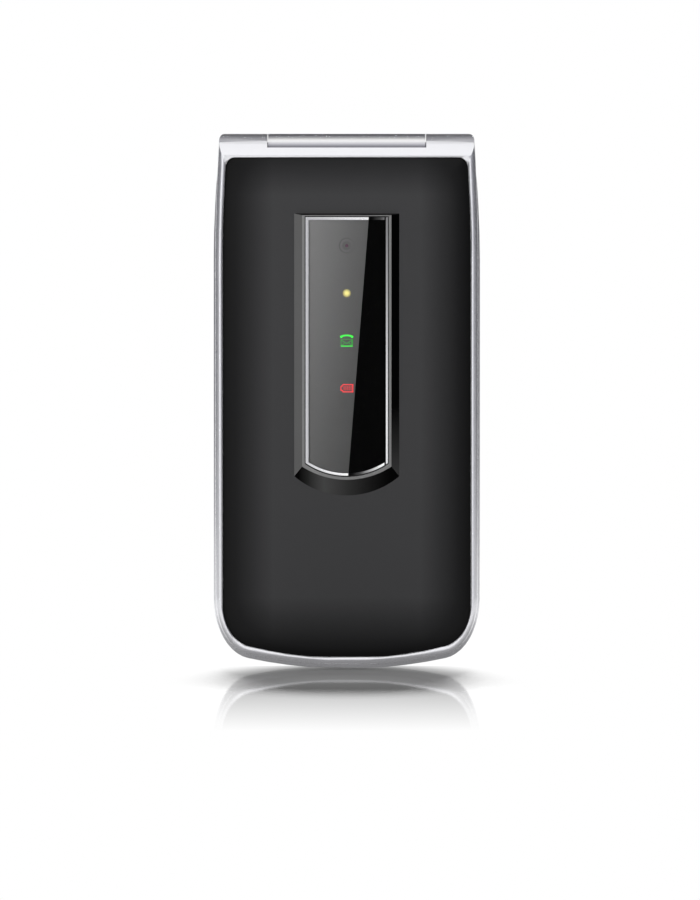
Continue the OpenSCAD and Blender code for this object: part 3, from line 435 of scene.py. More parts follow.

# %% [markdown]
# ## Finish of the bezel
#
# The bezel is chromed, and its reflection has the same split: bright left of the slanting line, black at the
# line, and brighter again towards the right corner, with a dark band down its right side. As on the mask,
# these are painted reflections, drawn as colours that stay in place. The stops are distances from the line in
# millimetres, so they are easy to move.

# %% Bezel finish
chrome_frame, tree, shader = finish("chromed_window_frame_painted_reflection", "#e0e0e4", 0.22, Metallic=1)
away = split_distance(tree)
SPAN = (-14, 9)
band = add(tree, "ShaderNodeMapRange", inputs={"From Min": SPAN[0] * MM, "From Max": SPAN[1] * MM},
           links={"Value": away})
# Painted reflection along the bezel, by distance from the slanting line
stops = [(-12.6, "#cfcfd2"), (-8.6, "#d8d8db"), (-4, "#f0f0f2"), (-0.05, "#ffffff"), (0.02, "#060606"),
         (0.9, "#121212"), (2.4, "#4c4c4c"), (3.8, "#9b9b9c"), (4.9, "#c7c7c8"), (5.7, "#e6e6e7"),
         (6.6, "#ffffff")]
shade = ramp(tree, band.outputs["Result"], [((mm - SPAN[0]) / (SPAN[1] - SPAN[0]), code)
                                            for mm, code in stops])
# Painted reflection: a dark band down the bezel's right side
painted_dark_band = ramp(tree, axis_value(tree, "X", 7.4, 8.4), [(0.1, "#ffffff"), (0.16, "#020202"), (0.38, "#020202"),
                                                   (0.48, "#ffffff")])
both = add(tree, "ShaderNodeMix", {"data_type": "RGBA", "blend_type": "MULTIPLY"}, {0: 1.0},
           {6: shade, 7: painted_dark_band})
tree.links.new(both.outputs[2], shader.inputs["Base Color"])
print("bezel ramp stops:", len(stops))

# %% [markdown]
# ## Finishes of the raised block
#
# The block under the bezel is polished black ABS. In the photograph its left slope looks greyed, its right
# slope goes black towards the top, and its foot is brightest left of the middle, all by reflection. They are
# painted reflections, drawn as colours too. A thin ledge round the bezel is an even grey, a painted highlight
# along its edge. Ramps over one axis are enough, because each face is straight.

# %% Block finishes
# Ledge: an even grey line, a painted edge highlight
ledge, tree, shader = finish("ledge_painted_highlight", "#767676", 0.45, Specular_IOR_Level=0.2)
vary(tree, shader, grain(tree, shader, 0.2, 0.0005), "#727272", "#7a7a7a")

# Side slopes: painted reflection, grey on the left, black on the right
slope, tree, shader = finish("polished_black_slope_painted_reflection", "#202020", 0.2, Specular_IOR_Level=0.05)
place = add(tree, "ShaderNodeTexCoord").outputs["Object"]
split = add(tree, "ShaderNodeSeparateXYZ", links={"Vector": place})
height = axis_value(tree, "Z", 40, 53)
side = add(tree, "ShaderNodeMath", {"operation": "GREATER_THAN"}, {1: 0.0}, {0: split.outputs["X"]})
left = ramp(tree, height, [(0, "#555555"), (0.6, "#575757")])
right = ramp(tree, height, [(0, "#353535"), (0.34, "#262626"), (0.81, "#0d0d0d"), (1, "#000000")])
both = add(tree, "ShaderNodeMix", {"data_type": "RGBA"}, links={0: side.outputs[0], 6: left, 7: right})
tree.links.new(both.outputs[2], shader.inputs["Base Color"])

# Foot: a painted reflection, one soft light patch that fades to both mitres
foot, tree, shader = finish("polished_black_foot_painted_reflection", "#202020", 0.2, Specular_IOR_Level=0.02)
across = axis_value(tree, "X", -10.5, 10.5)
shade = ramp(tree, across, [(0.04, "#000000"), (0.13, "#1f1f1f"), (0.17, "#2d2d2d"), (0.23, "#393939"),
                            (0.285, "#414141"), (0.4, "#383838"), (0.51, "#2d2d2d"), (0.63, "#202020"),
                            (0.74, "#131313"), (0.86, "#050505"), (0.92, "#000000")])
tree.links.new(shade, shader.inputs["Base Color"])
print("block finishes: 3")

# %% [markdown]
# ## Key plastics
#
# The keys are moulded in dark polycarbonate with a satin top. The call and end keys have a green and a red
# tint. The numbers are screen-printed in white, as a separate thin layer that stands a hair proud.

# %% Key finishes
key_dark, tree, shader = finish("satin_polycarbonate_keys", "#2b2b2f", 0.34)
vary(tree, shader, grain(tree, shader, 0.15, 0.001), "#28282c", "#303035")

key_green, tree, shader = finish("green_tinted_polycarbonate", "#1f5a33", 0.34)
vary(tree, shader, grain(tree, shader, 0.15, 0.001), "#1c522e", "#25663b")

key_red, tree, shader = finish("red_tinted_polycarbonate", "#7c1a1c", 0.34)
vary(tree, shader, grain(tree, shader, 0.15, 0.001), "#701719", "#8a2022")

# Printing ink: a flat, slightly warm white
ink, tree, shader = finish("white_printing_ink", "#dededc", 0.6)
vary(tree, shader, grain(tree, shader, 0.1, 0.001), "#d6d6d4", "#e6e6e4")
print("materials:", len(bpy.data.materials))

# %% [markdown]
# ## Finishes of the CAD nodes
#
# Many nodes keep their CAD shape, and only get their finish: screws, boards, contacts, the hinge's metal
# parts. A table of names is clearer than a line for each.

# %% Finish every CAD node
by_slot = {
    "silver_paint": silver, "black_satin": satin, "chrome_trim": chrome, "tinted_glass": tint,
    "screen_glass": screen, "black_plastic": black, "lamp_yellow": lamp, "lamp_green": green,
    "lamp_red": red, "circuit_board": board, "display_panel": panel_metal, "steel": steel,
    "black_rubber": rubber, "grey_rubber": mat_rubber, "flex_film": film, "dome_film": domes,
    "gold_contact": gold, "battery_case": cell, "key_plastic": key_dark, "call_plastic": key_green,
    "end_plastic": key_red}
slot_of = {part["node"]: part["material_slot"] for part in frame["record"]["subparts"]}
for name, thing in nodes.items():
    thing.data.materials.clear()
    thing.data.materials.append(by_slot[slot_of[name]])
body_of = {name: body for body, names in frame["record"]["behaviour"]["bodies"].items() for name in names}
print("finished nodes:", len(nodes))

# %% [markdown]
# ## Turning a bmesh into a piece
#
# Every new shape is made in a bmesh and then written into an object. Faces meet smoothly where they turn by
# less than a set angle and stay crisp elsewhere, and weighted normals keep the large flat faces flat.

# %% Piece helper


def piece(name, shape, body, material, smooth=32):
    """Write a bmesh into a new object that rides on a body and takes its finish from a slot."""
    data = bpy.data.meshes.new(name)
    shape.to_mesh(data)
    shape.free()
    thing = bpy.data.objects.new(name, data)
    bpy.context.scene.collection.objects.link(thing)
    for each in material if isinstance(material, list) else [material]:
        data.materials.append(each)
    data.shade_smooth()
    data.set_sharp_from_angle(angle=radians(smooth))
    normals = thing.modifiers.new("weighted normals", "WEIGHTED_NORMAL")
    normals.keep_sharp = True
    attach(thing, body)
    return thing


print("bodies with nodes:", len(set(body_of.values())))

# %% [markdown]
# ## The moulded shells
#
# The lid frame, the two keypad shells, the screen side and the battery cover already have the right shape
# in CAD, and remodelling them would only risk a misfit. Their meshes are loose triangles, so a copy is
# merged first, and then shaded smooth: the rounded rim is made of narrow bands that turn by a few degrees
# each. Flat faces are joined and given crisp borders, or their smooth shading would streak. The lid frame
# is all rim, so it keeps its narrow bands.

# %% Copy the moulded shells
BARREL_FROM = 97.2


def shell(node, name, material, crisp=True):
    """A merged, smoothly shaded copy of a CAD node, which it stands for; crisp joins its flat faces."""
    shape = bmesh.new()
    shape.from_mesh(nodes[node].data)
    bmesh.ops.remove_doubles(shape, verts=shape.verts, dist=0.002 * MM)
    bmesh.ops.dissolve_degenerate(shape, dist=0.001 * MM, edges=shape.edges)
    if crisp:
        bmesh.ops.dissolve_limit(shape, angle_limit=radians(0.4), verts=shape.verts, edges=shape.edges)
    if isinstance(material, list):
        for face in shape.faces:
            face.material_index = face.calc_center_median().z > BARREL_FROM * MM
    flat = {face for face in shape.faces if abs(face.normal.y) > 0.9999}
    shape.edges.index_update()
    rims = [edge.index for edge in shape.edges if len({face in flat for face in edge.link_faces}) == 2]
    thing = piece(name, shape, body_of[node], material)
    for i in rims if crisp else []:
        thing.data.edges[i].use_edge_sharp = True
    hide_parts(node)
    return thing


for node, name, material in [
        ("lid_frame", "lid_frame_shell", silver), ("base_front_housing", "keypad_shell", [silver, barrel]),
        ("base_rear_housing", "rear_shell", black), ("lid_inner_housing", "screen_side_shell", black)]:
    made = shell(node, name, material, crisp=node != "lid_frame")
    print(name, len(made.data.polygons), "faces")

# %% [markdown]
# ## Outlines
#
# The halves share one family of outlines: a chin that is a long arc, corners that are quarter ellipses, and
# sides that draw in towards the shoulders. The same rule gives the outer cover's outline here, with more
# points than CAD needs, so that its edge is round from close up.

# %% Outline rule
CHIN_FLAT = 0.25


def outline(half, top_half, low, high, chin_r, corner_x, corner_z, top_r, shoulder, inset=0):
    """Points in millimetres, right side up and then left side down, inset from the shape's edge."""
    half, top_half, low, high = half - inset, top_half - inset, low + inset, high - inset
    chin_r, corner_x, corner_z = chin_r - inset, max(1, corner_x - inset), max(1, corner_z - inset)
    top_r = max(0.4, top_r - inset)
    start = atan((half - corner_x) / chin_r * corner_x / corner_z)
    join = half - corner_x + corner_x * sin(start)
    middle = low - CHIN_FLAT + join * join / (2 * chin_r) + corner_z * cos(start)
    neck = high - top_r
    right = [(join * i / 8, low - CHIN_FLAT + (join * i / 8) ** 2 / (2 * chin_r)) for i in range(1, 8)]
    for i in range(25):
        turn = start + (pi / 2 - start) * i / 24
        right.append((half - corner_x + corner_x * sin(turn), middle - corner_z * cos(turn)))
    for i in range(1, 9):
        z = shoulder + (neck - shoulder) * i / 8
        right.append((half - (half - top_half) * ((z - shoulder) / (high - shoulder)) ** 2, z))
    right += [(top_half - top_r + top_r * cos(pi / 16 * i), neck + top_r * sin(pi / 16 * i))
              for i in range(1, 9)]
    return right + [(-x, z) for x, z in reversed(right)]


PANEL = (24.8, 24.035, 2.6, 102.5, 80, 6.5, 8.5, 1.6, 82)
points = outline(*PANEL)
print("outer cover outline:", len(points), "points")

# %% [markdown]
# ## Rings and lofts
#
# A crowned moulding is a stack of outlines, each a little deeper and wider than the one before. Each ring is
# a loop of edges, bridge_loops joins it to the next, and the two ends are filled.

# %% Ring and loft helpers


def ring(shape, points, y):
    """A closed loop of edges through points in millimetres at one depth."""
    verts = [shape.verts.new((x * MM, y * MM, z * MM)) for x, z in points]
    return [shape.edges.new(pair) for pair in zip(verts, verts[1:] + verts[:1])]


def loft(shape, rings, ends=(True, True)):
    """Bridge rings in order, fill the first and the last where asked, and give each band's faces."""
    bands = [bmesh.ops.bridge_loops(shape, edges=one + other)["faces"]
             for one, other in zip(rings, rings[1:])]
    for loop, wanted in zip((rings[0], rings[-1]), ends):
        if wanted:
            bmesh.ops.contextual_create(shape, geom=loop)
    bmesh.ops.recalc_face_normals(shape, faces=shape.faces)
    return bands


print("a ring of the cover has", len(points), "edges")

# %% [markdown]
# ## The outer cover
#
# The black cover is crowned: flat in its middle and falling away over the last few millimetres, slowly at
# first and then quickly. Eighteen rings follow that curve, so the light fades round the edge without steps.

# %% Model the outer cover
CROWN_Y, FALL, BACK_Y, CROWN_IN = -8.5, 0.6, -7.25, 6
shape = bmesh.new()
crown = []
for i in range(18):
    t = i / 17
    inset = CROWN_IN * (1 - t) ** 1.5
    drop = FALL * ((CROWN_IN - inset) / CROWN_IN) ** 4.2
    crown.append(ring(shape, outline(*PANEL, inset=inset), CROWN_Y + drop))
crown.append(ring(shape, points, BACK_Y))
loft(shape, crown)
cover = piece("outer_cover_moulding", shape, "lid", satin, 50)
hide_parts("outer_cover")
print("outer cover faces:", len(cover.data.polygons))

# %% [markdown]
# ## The raised window block
#
# A block stands on the cover and carries the window. Its sides slope down to the cover, and its foot is a
# wide arc that meets the sides at a mitre. On top a narrow ledge runs round a pocket, with a thin groove
# between the ledge and the bezel. Each of these is one more ring on the same arc-footed outline.

# %% Window outline rule and block
BLOCK_Y, GLASS_Y, MASK_Y, SEAT_Y, FRONT_Y = -9.3, -9.4, -9.15, -8.7, -9.5
RIMS = {"bezel inside": (7.6, 90.02, 41.6, 39.4), "bezel": (8.25, 90.6, 41.46, 38.9),
        "groove": (8.41, 90.8, 41.3, 38.66), "ledge": (8.92, 90.98, 40.75, 38.1),
        "slope": (10.5, 91.3, 38.78, 34.94)}


def window(name, inset=0):
    """Arc-footed outline in millimetres: half width, top, and its foot's corners and lowest point."""
    half, top, corner, low = RIMS[name]
    half, top, corner, low = half - inset, top - inset, corner + 0.5 * inset, low + inset
    r = (half ** 2 + (corner - low) ** 2) / (2 * (corner - low))
    reach = asin(half / r)
    turns = [reach * (i / 12 - 1) for i in range(25)]
    return [(half, top), (-half, top)] + [(r * sin(turn), low + r - r * cos(turn)) for turn in turns]


shape = bmesh.new()
steps = [("slope", CROWN_Y + 0.3), ("slope", CROWN_Y - 0.02), ("ledge", BLOCK_Y), ("groove", BLOCK_Y),
         ("groove", SEAT_Y)]
bands = loft(shape, [ring(shape, window(name), y) for name, y in steps])
for face in bands[1]:
    face.material_index = 3
    if face.normal.z > 0.3:
        face.material_index = 0
    elif abs(face.normal.z) < 0.12:
        face.material_index = 2
for face in bands[2]:
    face.material_index = 1
block = piece("window_block", shape, "lid", [gloss, ledge, slope, foot], 20)
print("window block faces:", len(block.data.polygons))

# %% [markdown]
# ## Bezel, glass and mask
#
# The bezel is a chromed frame with softened edges. It could be a plate with a hole cut in it, but four rings
# joined into a closed loft give the same frame with clean faces, and its front edges are then bevelled. The
# glass lies in it, and the mask with its painted reflection lies under the glass: both are flat plates, drawn
# by one helper.

# %% Plate helper


def slab(shape, points, front, back):
    """A flat plate through points, between two depths."""
    face = bmesh.ops.contextual_create(shape, geom=ring(shape, points, front))["faces"]
    grown = bmesh.ops.extrude_face_region(shape, geom=face)["geom"]
    moved = [v for v in grown if isinstance(v, bmesh.types.BMVert)]
    bmesh.ops.translate(shape, verts=moved, vec=(0, (back - front) * MM, 0))
    bmesh.ops.recalc_face_normals(shape, faces=shape.faces)


print("plate helper ready")

# %% [markdown]
# ## Model the bezel, the glass and the mask
#
# The first and last of the four rings are the same, so the loft closes on itself and needs no ends. The
# bevel takes only edges on the front that turn by more than a radian. The glass stays 0.1 mm clear of the
# mask.

# %% Model the bezel, the glass and the mask
shape = bmesh.new()
inside, outside = window("bezel inside"), window("bezel")
around = [ring(shape, inside, SEAT_Y), ring(shape, inside, FRONT_Y), ring(shape, outside, FRONT_Y),
          ring(shape, outside, SEAT_Y)]
loft(shape, around + around[:1], (False, False))
corners = [e for e in shape.edges if e.calc_face_angle() > 1
           and max(v.co.y for v in e.verts) < (FRONT_Y + 0.01) * MM]
bmesh.ops.bevel(shape, geom=corners, offset=0.07 * MM, segments=3, profile=0.5, affect="EDGES", material=-1)
bezel = piece("window_bezel", shape, "lid", chrome_frame)
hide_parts("window_trim")

shape = bmesh.new()
slab(shape, window("bezel inside", 0.02), GLASS_Y, MASK_Y - 0.1)
glass = piece("window_glass", shape, "lid", tint)
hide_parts("window_lens")

shape = bmesh.new()
slab(shape, window("bezel inside", 0.01), MASK_Y, SEAT_Y)
piece("window_mask", shape, "lid", mask)
print("bezel faces:", len(bezel.data.polygons))

# %% [markdown]
# ## Camera and lamp
#
# Behind the glass the camera is a disc and a ring round a small lens, and the lamp is a frosted dome. All
# are round, so each is a profile of a few points spun about an axis through the phone's thickness.

# %% Turned parts of the window


def turned(profile, x, z, name, body, slot, material, steps=32):
    """Spin a profile of (radius, depth) points in millimetres about an axis across the thickness."""
    shape = bmesh.new()
    verts = [shape.verts.new(((x + r) * MM, y * MM, z * MM)) for r, y in profile]
    edges = [shape.edges.new(pair) for pair in zip(verts, verts[1:])]
    bmesh.ops.spin(shape, geom=verts + edges, cent=(x * MM, 0, z * MM), axis=(0, 1, 0), dvec=(0, 0, 0),
                   angle=2 * pi, steps=steps, use_merge=True)
    bmesh.ops.remove_doubles(shape, verts=shape.verts, dist=0.001 * MM)
    bmesh.ops.recalc_face_normals(shape, faces=shape.faces)
    return piece(name, shape, body, material, 40)


CAMERA_Z, CHARGE_Z = 84.9, 56.4
SIGN_Y = MASK_Y
# The camera's disc and ring are grey like the painted reflection on the mask around them, so they carry that
# painted reflection too
camera_grey, tree, shader = finish("camera_grey_painted_reflection", "#7c7c7c", 0.4, Specular_IOR_Level=0.05)
vary(tree, shader, grain(tree, shader, 0.2, 0.001), "#787878", "#808080")
lens_glass, tree, shader = finish("coated_camera_lens", "#75576a", 0.08, Coat_Weight=0.3)
vary(tree, shader, grain(tree, shader, 0.5, 0.0005), "#6e5264", "#7c5c70")

turned([(0.9, SIGN_Y), (0.9, SIGN_Y - 0.03), (0, SIGN_Y - 0.03)], 0, CAMERA_Z, "camera_disc", "lid",
       "black_plastic", camera_grey)
turned([(1.35, SIGN_Y), (1.35, SIGN_Y - 0.04), (1.6, SIGN_Y - 0.04), (1.6, SIGN_Y)], 0, CAMERA_Z,
       "camera_ring", "lid", "black_plastic", camera_grey)
turned([(0.35, SIGN_Y - 0.02), (0.3, SIGN_Y - 0.045), (0.15, SIGN_Y - 0.055), (0, SIGN_Y - 0.055)], 0,
       CAMERA_Z, "camera_lens", "lid", "black_plastic", lens_glass)
turned([(0.85, SIGN_Y + 0.02), (0.85, SIGN_Y - 0.02), (0.7, SIGN_Y - 0.045), (0.4, SIGN_Y - 0.055),
        (0, SIGN_Y - 0.057)], 0, LAMP_Z, "flash_lamp", "lid", "lamp_yellow", lamp)
print("pieces behind the glass:", 4)

# %% [markdown]
# ## Indicator signs
#
# Two small signs glow: a handset over an envelope for calls and messages, and a battery with bars. They
# could be a picture on the mask, but a few flat plates, as such icons are drawn, stay sharp from close up
# and need no image. Each lies on the mask, and stands a hair proud of it.

# %% Strip and bar helpers


def bars(shape, boxes, front=SIGN_Y - 0.05, back=SIGN_Y + 0.01):
    """Small plates, each (x, z, width, height) in millimetres."""
    for x, z, w, h in boxes:
        slab(shape, [(x - w / 2, z - h / 2), (x + w / 2, z - h / 2), (x + w / 2, z + h / 2),
                     (x - w / 2, z + h / 2)], front, back)


def arc(x, z, r, width, start, end, count=12):
    """Points of a bent strip from one angle to another, in millimetres and degrees."""
    turns = [radians(start + (end - start) * i / count) for i in range(count + 1)]
    outer = [(x + (r + width) * cos(a), z + (r + width) * sin(a)) for a in turns]
    return outer + [(x + r * cos(a), z + r * sin(a)) for a in reversed(turns)]


print("a strip of 12 steps has", len(arc(0, 0, 1, 0.1, 0, 90)), "points")

# %% [markdown]
# ## Draw the signs
#
# The handset is one bent strip with two end blocks. The envelope is an outline with two slanting strips for
# its flap and two for its folds, which are mirrored by a sign of plus or minus one. The battery is a frame
# with a pole, and its five bars are the fainter red.

# %% Draw the signs
HANDSET_Z, LETTER_Z = 66.9, 65.5
shape = bmesh.new()
slab(shape, arc(0, HANDSET_Z - 2.65, 2.55, 0.32, 64, 116), SIGN_Y - 0.05, SIGN_Y + 0.01)
bars(shape, [(-1.08, HANDSET_Z - 0.22, 0.42, 0.4), (1.08, HANDSET_Z - 0.22, 0.42, 0.4),
             (0, LETTER_Z - 0.68, 2.34, 0.2)])
call_sign = piece("call_sign", shape, "lid", green)
shape = bmesh.new()
bars(shape, [(0, LETTER_Z + 0.68, 2.34, 0.1), (-1.12, LETTER_Z, 0.12, 1.4), (1.08, LETTER_Z, 0.26, 1.4)])
for side in (-1, 1):
    slab(shape, [(side * 1.1, LETTER_Z + 0.62), (0, LETTER_Z - 0.12), (0, LETTER_Z - 0.28),
                 (side * 1.1, LETTER_Z + 0.46)][::side], SIGN_Y - 0.05, SIGN_Y + 0.01)
    slab(shape, [(side * 1.1, LETTER_Z - 0.62), (side * 0.45, LETTER_Z + 0.02),
                 (side * 0.38, LETTER_Z - 0.06), (side * 0.95, LETTER_Z - 0.62)][::side],
         SIGN_Y - 0.05, SIGN_Y + 0.01)
piece("letter_sign", shape, "lid", dim_green)

shape = bmesh.new()
bars(shape, [(0.22, CHARGE_Z + 0.72, 2.1, 0.22), (0.22, CHARGE_Z - 0.72, 2.1, 0.22),
             (1.2, CHARGE_Z, 0.22, 1.66), (-0.88, CHARGE_Z + 0.5, 0.2, 0.3),
             (-0.88, CHARGE_Z - 0.5, 0.2, 0.3), (-1.16, CHARGE_Z, 0.2, 0.9),
             (-1.02, CHARGE_Z + 0.4, 0.2, 0.2), (-1.02, CHARGE_Z - 0.4, 0.2, 0.2)])
charge_sign = piece("battery_sign", shape, "lid", red)
shape = bmesh.new()
bars(shape, [(0.86 - 0.35 * i, CHARGE_Z, 0.19, 0.84) for i in range(5)])
piece("battery_bars", shape, "lid", dim_red)
print("sign faces:", len(call_sign.data.polygons), len(charge_sign.data.polygons))

# %% [markdown]
# ## Keys
#
# Each key is a cap with rounded corners, a soft edge and a flat top, on a thin flange that keeps it under
# the shell. Its plan comes from its CAD box, and seven rings give the rounded edge and the flange, so
# every key fits its hole whatever its size. The print is text turned into a thin mesh, or a small plate
# for a sign, and is joined to the cap, so each key stays one piece with two finishes.

# %% Key names and print
labels = {"key_1": "1", "key_2": "2", "key_3": "3", "key_4": "4", "key_5": "5", "key_6": "6", "key_7": "7",
          "key_8": "8", "key_9": "9", "key_star": "*", "key_0": "0", "key_hash": "#"}
key_names = [name for name in nodes if name in labels or name.endswith("_key") or name.startswith("nav_")
             or name.startswith("soft_key")]


def rounded(x, z, w, h, r, count=8):
    """Rounded rectangle in millimetres."""
    points = []
    for sx, sz, start in ((1, 1, 0), (-1, 1, 90), (-1, -1, 180), (1, -1, 270)):
        for i in range(count + 1):
            a = radians(start + 90 * i / count)
            points.append((x + sx * (w / 2 - r) + r * cos(a), z + sz * (h / 2 - r) + r * sin(a)))
    return points


def printed_text(text, x, z, size, y):
    """A flat mesh of text in the x-z plane, facing the front of the keypad."""
    curve = bpy.data.curves.new("print", "FONT")
    curve.body, curve.size, curve.align_x, curve.align_y = text, size * MM, "CENTER", "CENTER"
    curve.extrude = 0.02 * MM
    curve.resolution_u = 6
    thing = bpy.data.objects.new("print", curve)
    mesh = bpy.data.meshes.new_from_object(thing)
    mesh.transform(Matrix.Translation((x * MM, y * MM, z * MM)) @ Matrix.Rotation(pi / 2, 4, "X"))
    bpy.data.objects.remove(thing)
    return mesh


print("keys with a number or sign:", len(labels))

# %% [markdown]
# ## One key cap
#
# The rings go from the flat top over the rounded edge and down to the flange. The OK key is round, so its
# corner radius is half its width; the others have 1.6 mm corners.

# %% One key cap
FLANGE, CORNER_R = 0.4, 1.6


def key_cap(name):
    """One key: a cap with a rounded edge and its print."""
    low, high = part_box(name)
    x, z = (low.x + high.x) / 2 / MM, (low.z + high.z) / 2 / MM
    w, h = (high.x - low.x) / MM - 2 * FLANGE, (high.z - low.z) / MM - 2 * FLANGE
    front, back = low.y / MM, high.y / MM
    r = w / 2 - 0.001 if name == "ok_key" else CORNER_R
    shape = bmesh.new()
    rings = []
    for inset, y in ((0.8, front), (0.35, front + 0.03), (0.12, front + 0.1), (0, front + 0.28),
                     (0, back - 0.3), (-FLANGE, back - 0.3), (-FLANGE, back)):
        rings.append(ring(shape, rounded(x, z, w - 2 * inset, h - 2 * inset,
                                         max(0.3, min(r, w / 2) - inset)), y))
    loft(shape, rings)
    return shape, x, z, front


print("flange", FLANGE, "mm, corner radius", CORNER_R, "mm")

# %% [markdown]
# ## Make every key
#
# Arrows, handsets and soft-key bars are a few points each, turned by an angle, so one arrow serves four
# keys. Faces added after the cap's own take the second material, the ink.

# %% Make every key
ARROW = [(-1.0, -0.6), (1.0, -0.6), (0, 0.8)]
HANDSET = arc(0, -2.6, 2.5, 0.75, 48, 132, 8)
BAR = [(-1.3, -0.2), (1.3, -0.2), (1.3, 0.2), (-1.3, 0.2)]
symbols = {"nav_up": (ARROW, 0), "nav_left": (ARROW, 90), "nav_down": (ARROW, 180),
           "nav_right": (ARROW, 270), "call_key": (HANDSET, 50), "end_key": (HANDSET, 0),
           "soft_key_left": (BAR, 0), "soft_key_right": (BAR, 0)}

for name in key_names:
    shape, x, z, front = key_cap(name)
    cap_faces = len(shape.faces)
    material = {"call_key": key_green, "end_key": key_red, "ok_key": chrome}.get(name, key_dark)
    if name in labels:
        size, drop = (9, 1.5) if name == "key_star" else (5.2, 0)
        shape.from_mesh(printed_text(labels[name], x, z - drop, size, front + 0.015))
    if name in symbols:
        sign, angle = symbols[name]
        a = radians(angle)
        slab(shape, [(x + u * cos(a) - v * sin(a), z + u * sin(a) + v * cos(a)) for u, v in sign],
             front - 0.005, front + 0.02)
    shape.faces.ensure_lookup_table()
    for face in shape.faces[cap_faces:]:
        face.material_index = 1
    made = piece(name + "_cap", shape, name, [material, ink], 35)
    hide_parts(name)
print("keys:", len(key_names))

# %% [markdown]
# ## Screen cover
#
# The screen's cover is a sheet with rounded corners and a fine bevel on the edge that faces the user. It
# is a plate through a rounded rectangle of its CAD box's size. The finish draws the border, so no second
# mesh is needed for the display area.

# %% Screen cover
low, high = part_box("display_lens")
shape = bmesh.new()
slab(shape, rounded(0, (low.z + high.z) / 2 / MM, (high.x - low.x) / MM, (high.z - low.z) / MM, 1.45),
     low.y / MM, high.y / MM)
corners = [e for e in shape.edges
           if e.calc_face_angle() > 1 and min(v.co.y for v in e.verts) > high.y - 1e-6]
bmesh.ops.bevel(shape, geom=corners, offset=0.15 * MM, segments=2, profile=0.5, affect="EDGES", material=-1)
glass = piece("screen_glass", shape, "lid", screen)
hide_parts("display_lens")
print("screen cover faces:", len(glass.data.polygons))

# %% [markdown]
# ## Earpiece
#
# The earpiece shows as a slot with a chromed rim and thin ribs over the speaker. The rim is one face,
# inset from its border and then deleted, which leaves a flat ring to extrude. Bridging two rings would
# also do, but then their points have to pair up. A new face has no normal yet, and the inset needs one, so
# the normals are updated first.

# %% Earpiece
low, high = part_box("earpiece_speaker")
EAR_Z, INNER_Y = (low.z + high.z) / 2 / MM, -0.6
shape = bmesh.new()
plate = bmesh.ops.contextual_create(
    shape, geom=ring(shape, rounded(0, EAR_Z, 12, 2.2, 1.08), INNER_Y - 0.02))["faces"]
shape.normal_update()
bmesh.ops.inset_region(shape, faces=plate, thickness=0.5 * MM, use_boundary=True, use_even_offset=True)
bmesh.ops.delete(shape, geom=plate, context="FACES")
print("earpiece rim:", len(shape.faces), "faces round the slot")
grown = bmesh.ops.extrude_face_region(shape, geom=shape.faces[:])["geom"]
bmesh.ops.translate(shape, verts=[v for v in grown if isinstance(v, bmesh.types.BMVert)],
                    vec=(0, 0.08 * MM, 0))
bmesh.ops.recalc_face_normals(shape, faces=shape.faces)
piece("earpiece_rim", shape, "lid", chrome)
shape = bmesh.new()
bars(shape, [(-5 + i, EAR_Z, 0.4, 1.16) for i in range(11)], INNER_Y - 0.5, INNER_Y - 0.25)
piece("earpiece_ribs", shape, "lid", steel)
print("earpiece pieces:", 2)

# %% [markdown]
# ## Battery cover
#
# The cover on the back is a crowned plate like the front one, in the same satin lacquer with its painted
# edge shade. Its CAD shape is right, so it gets the same merged copy as the shells, and no new crown.

# %% Battery cover
made = shell("battery_cover", "battery_cover_plate", satin)
print("battery cover faces:", len(made.data.polygons))

# %% [markdown]
# ## Table
#
# The phone stands on a white disc, the stage, which isn't part of the object. It is wide enough that its
# rim melts into the white background.

# %% Table disc
SKY, TABLE_R = 0.15, 0.7
shape = bmesh.new()
bmesh.ops.create_circle(shape, cap_ends=True, segments=96, radius=TABLE_R)
data = bpy.data.meshes.new("table")
shape.to_mesh(data)
shape.free()
table = bpy.data.objects.new("table", data)
bpy.context.scene.collection.objects.link(table)
print("table", 2 * TABLE_R, "m across")

# %% [markdown]
# ## The table's mirror
#
# The laminate is polished, so it mirrors the phone's foot. How much depends on the angle, which Fresnel
# gives, and it fades with the distance from the phone and beyond the phone's sides.

# %% Table mirror
white = bpy.data.materials.new("white_table_laminate")
white.use_nodes = True
tree = white.node_tree
tree.nodes.clear()
place = add(tree, "ShaderNodeTexCoord").outputs["Object"]
far = add(tree, "ShaderNodeVectorMath", {"operation": "LENGTH"}, links={0: place}).outputs["Value"]
near = add(tree, "ShaderNodeMapRange", inputs={"From Max": 0.21}, links={"Value": far}).outputs["Result"]
sheen = ramp(tree, near, [(0, "#585858"), (0.15, "#686868"), (0.3, "#a0a0a0"), (0.4, "#c8c8c8"),
                          (0.48, "#c2c2c2"), (1, "#000000")])
graze = add(tree, "ShaderNodeFresnel", inputs={"IOR": 1.5})
mirrored = add(tree, "ShaderNodeMath", {"operation": "MULTIPLY"}, links={0: sheen, 1: graze.outputs[0]})
split = add(tree, "ShaderNodeSeparateXYZ", links={"Vector": place})
aside = add(tree, "ShaderNodeMath", {"operation": "ABSOLUTE"}, links={0: split.outputs["X"]})
aside = add(tree, "ShaderNodeMapRange",
            inputs={"From Min": 0.027, "From Max": 0.034, "To Min": 1, "To Max": 0},
            links={"Value": aside.outputs[0]})
mirrored = add(tree, "ShaderNodeMath", {"operation": "MULTIPLY"},
               links={0: mirrored.outputs[0], 1: aside.outputs["Result"]})
print("mirror nodes:", len(tree.nodes))
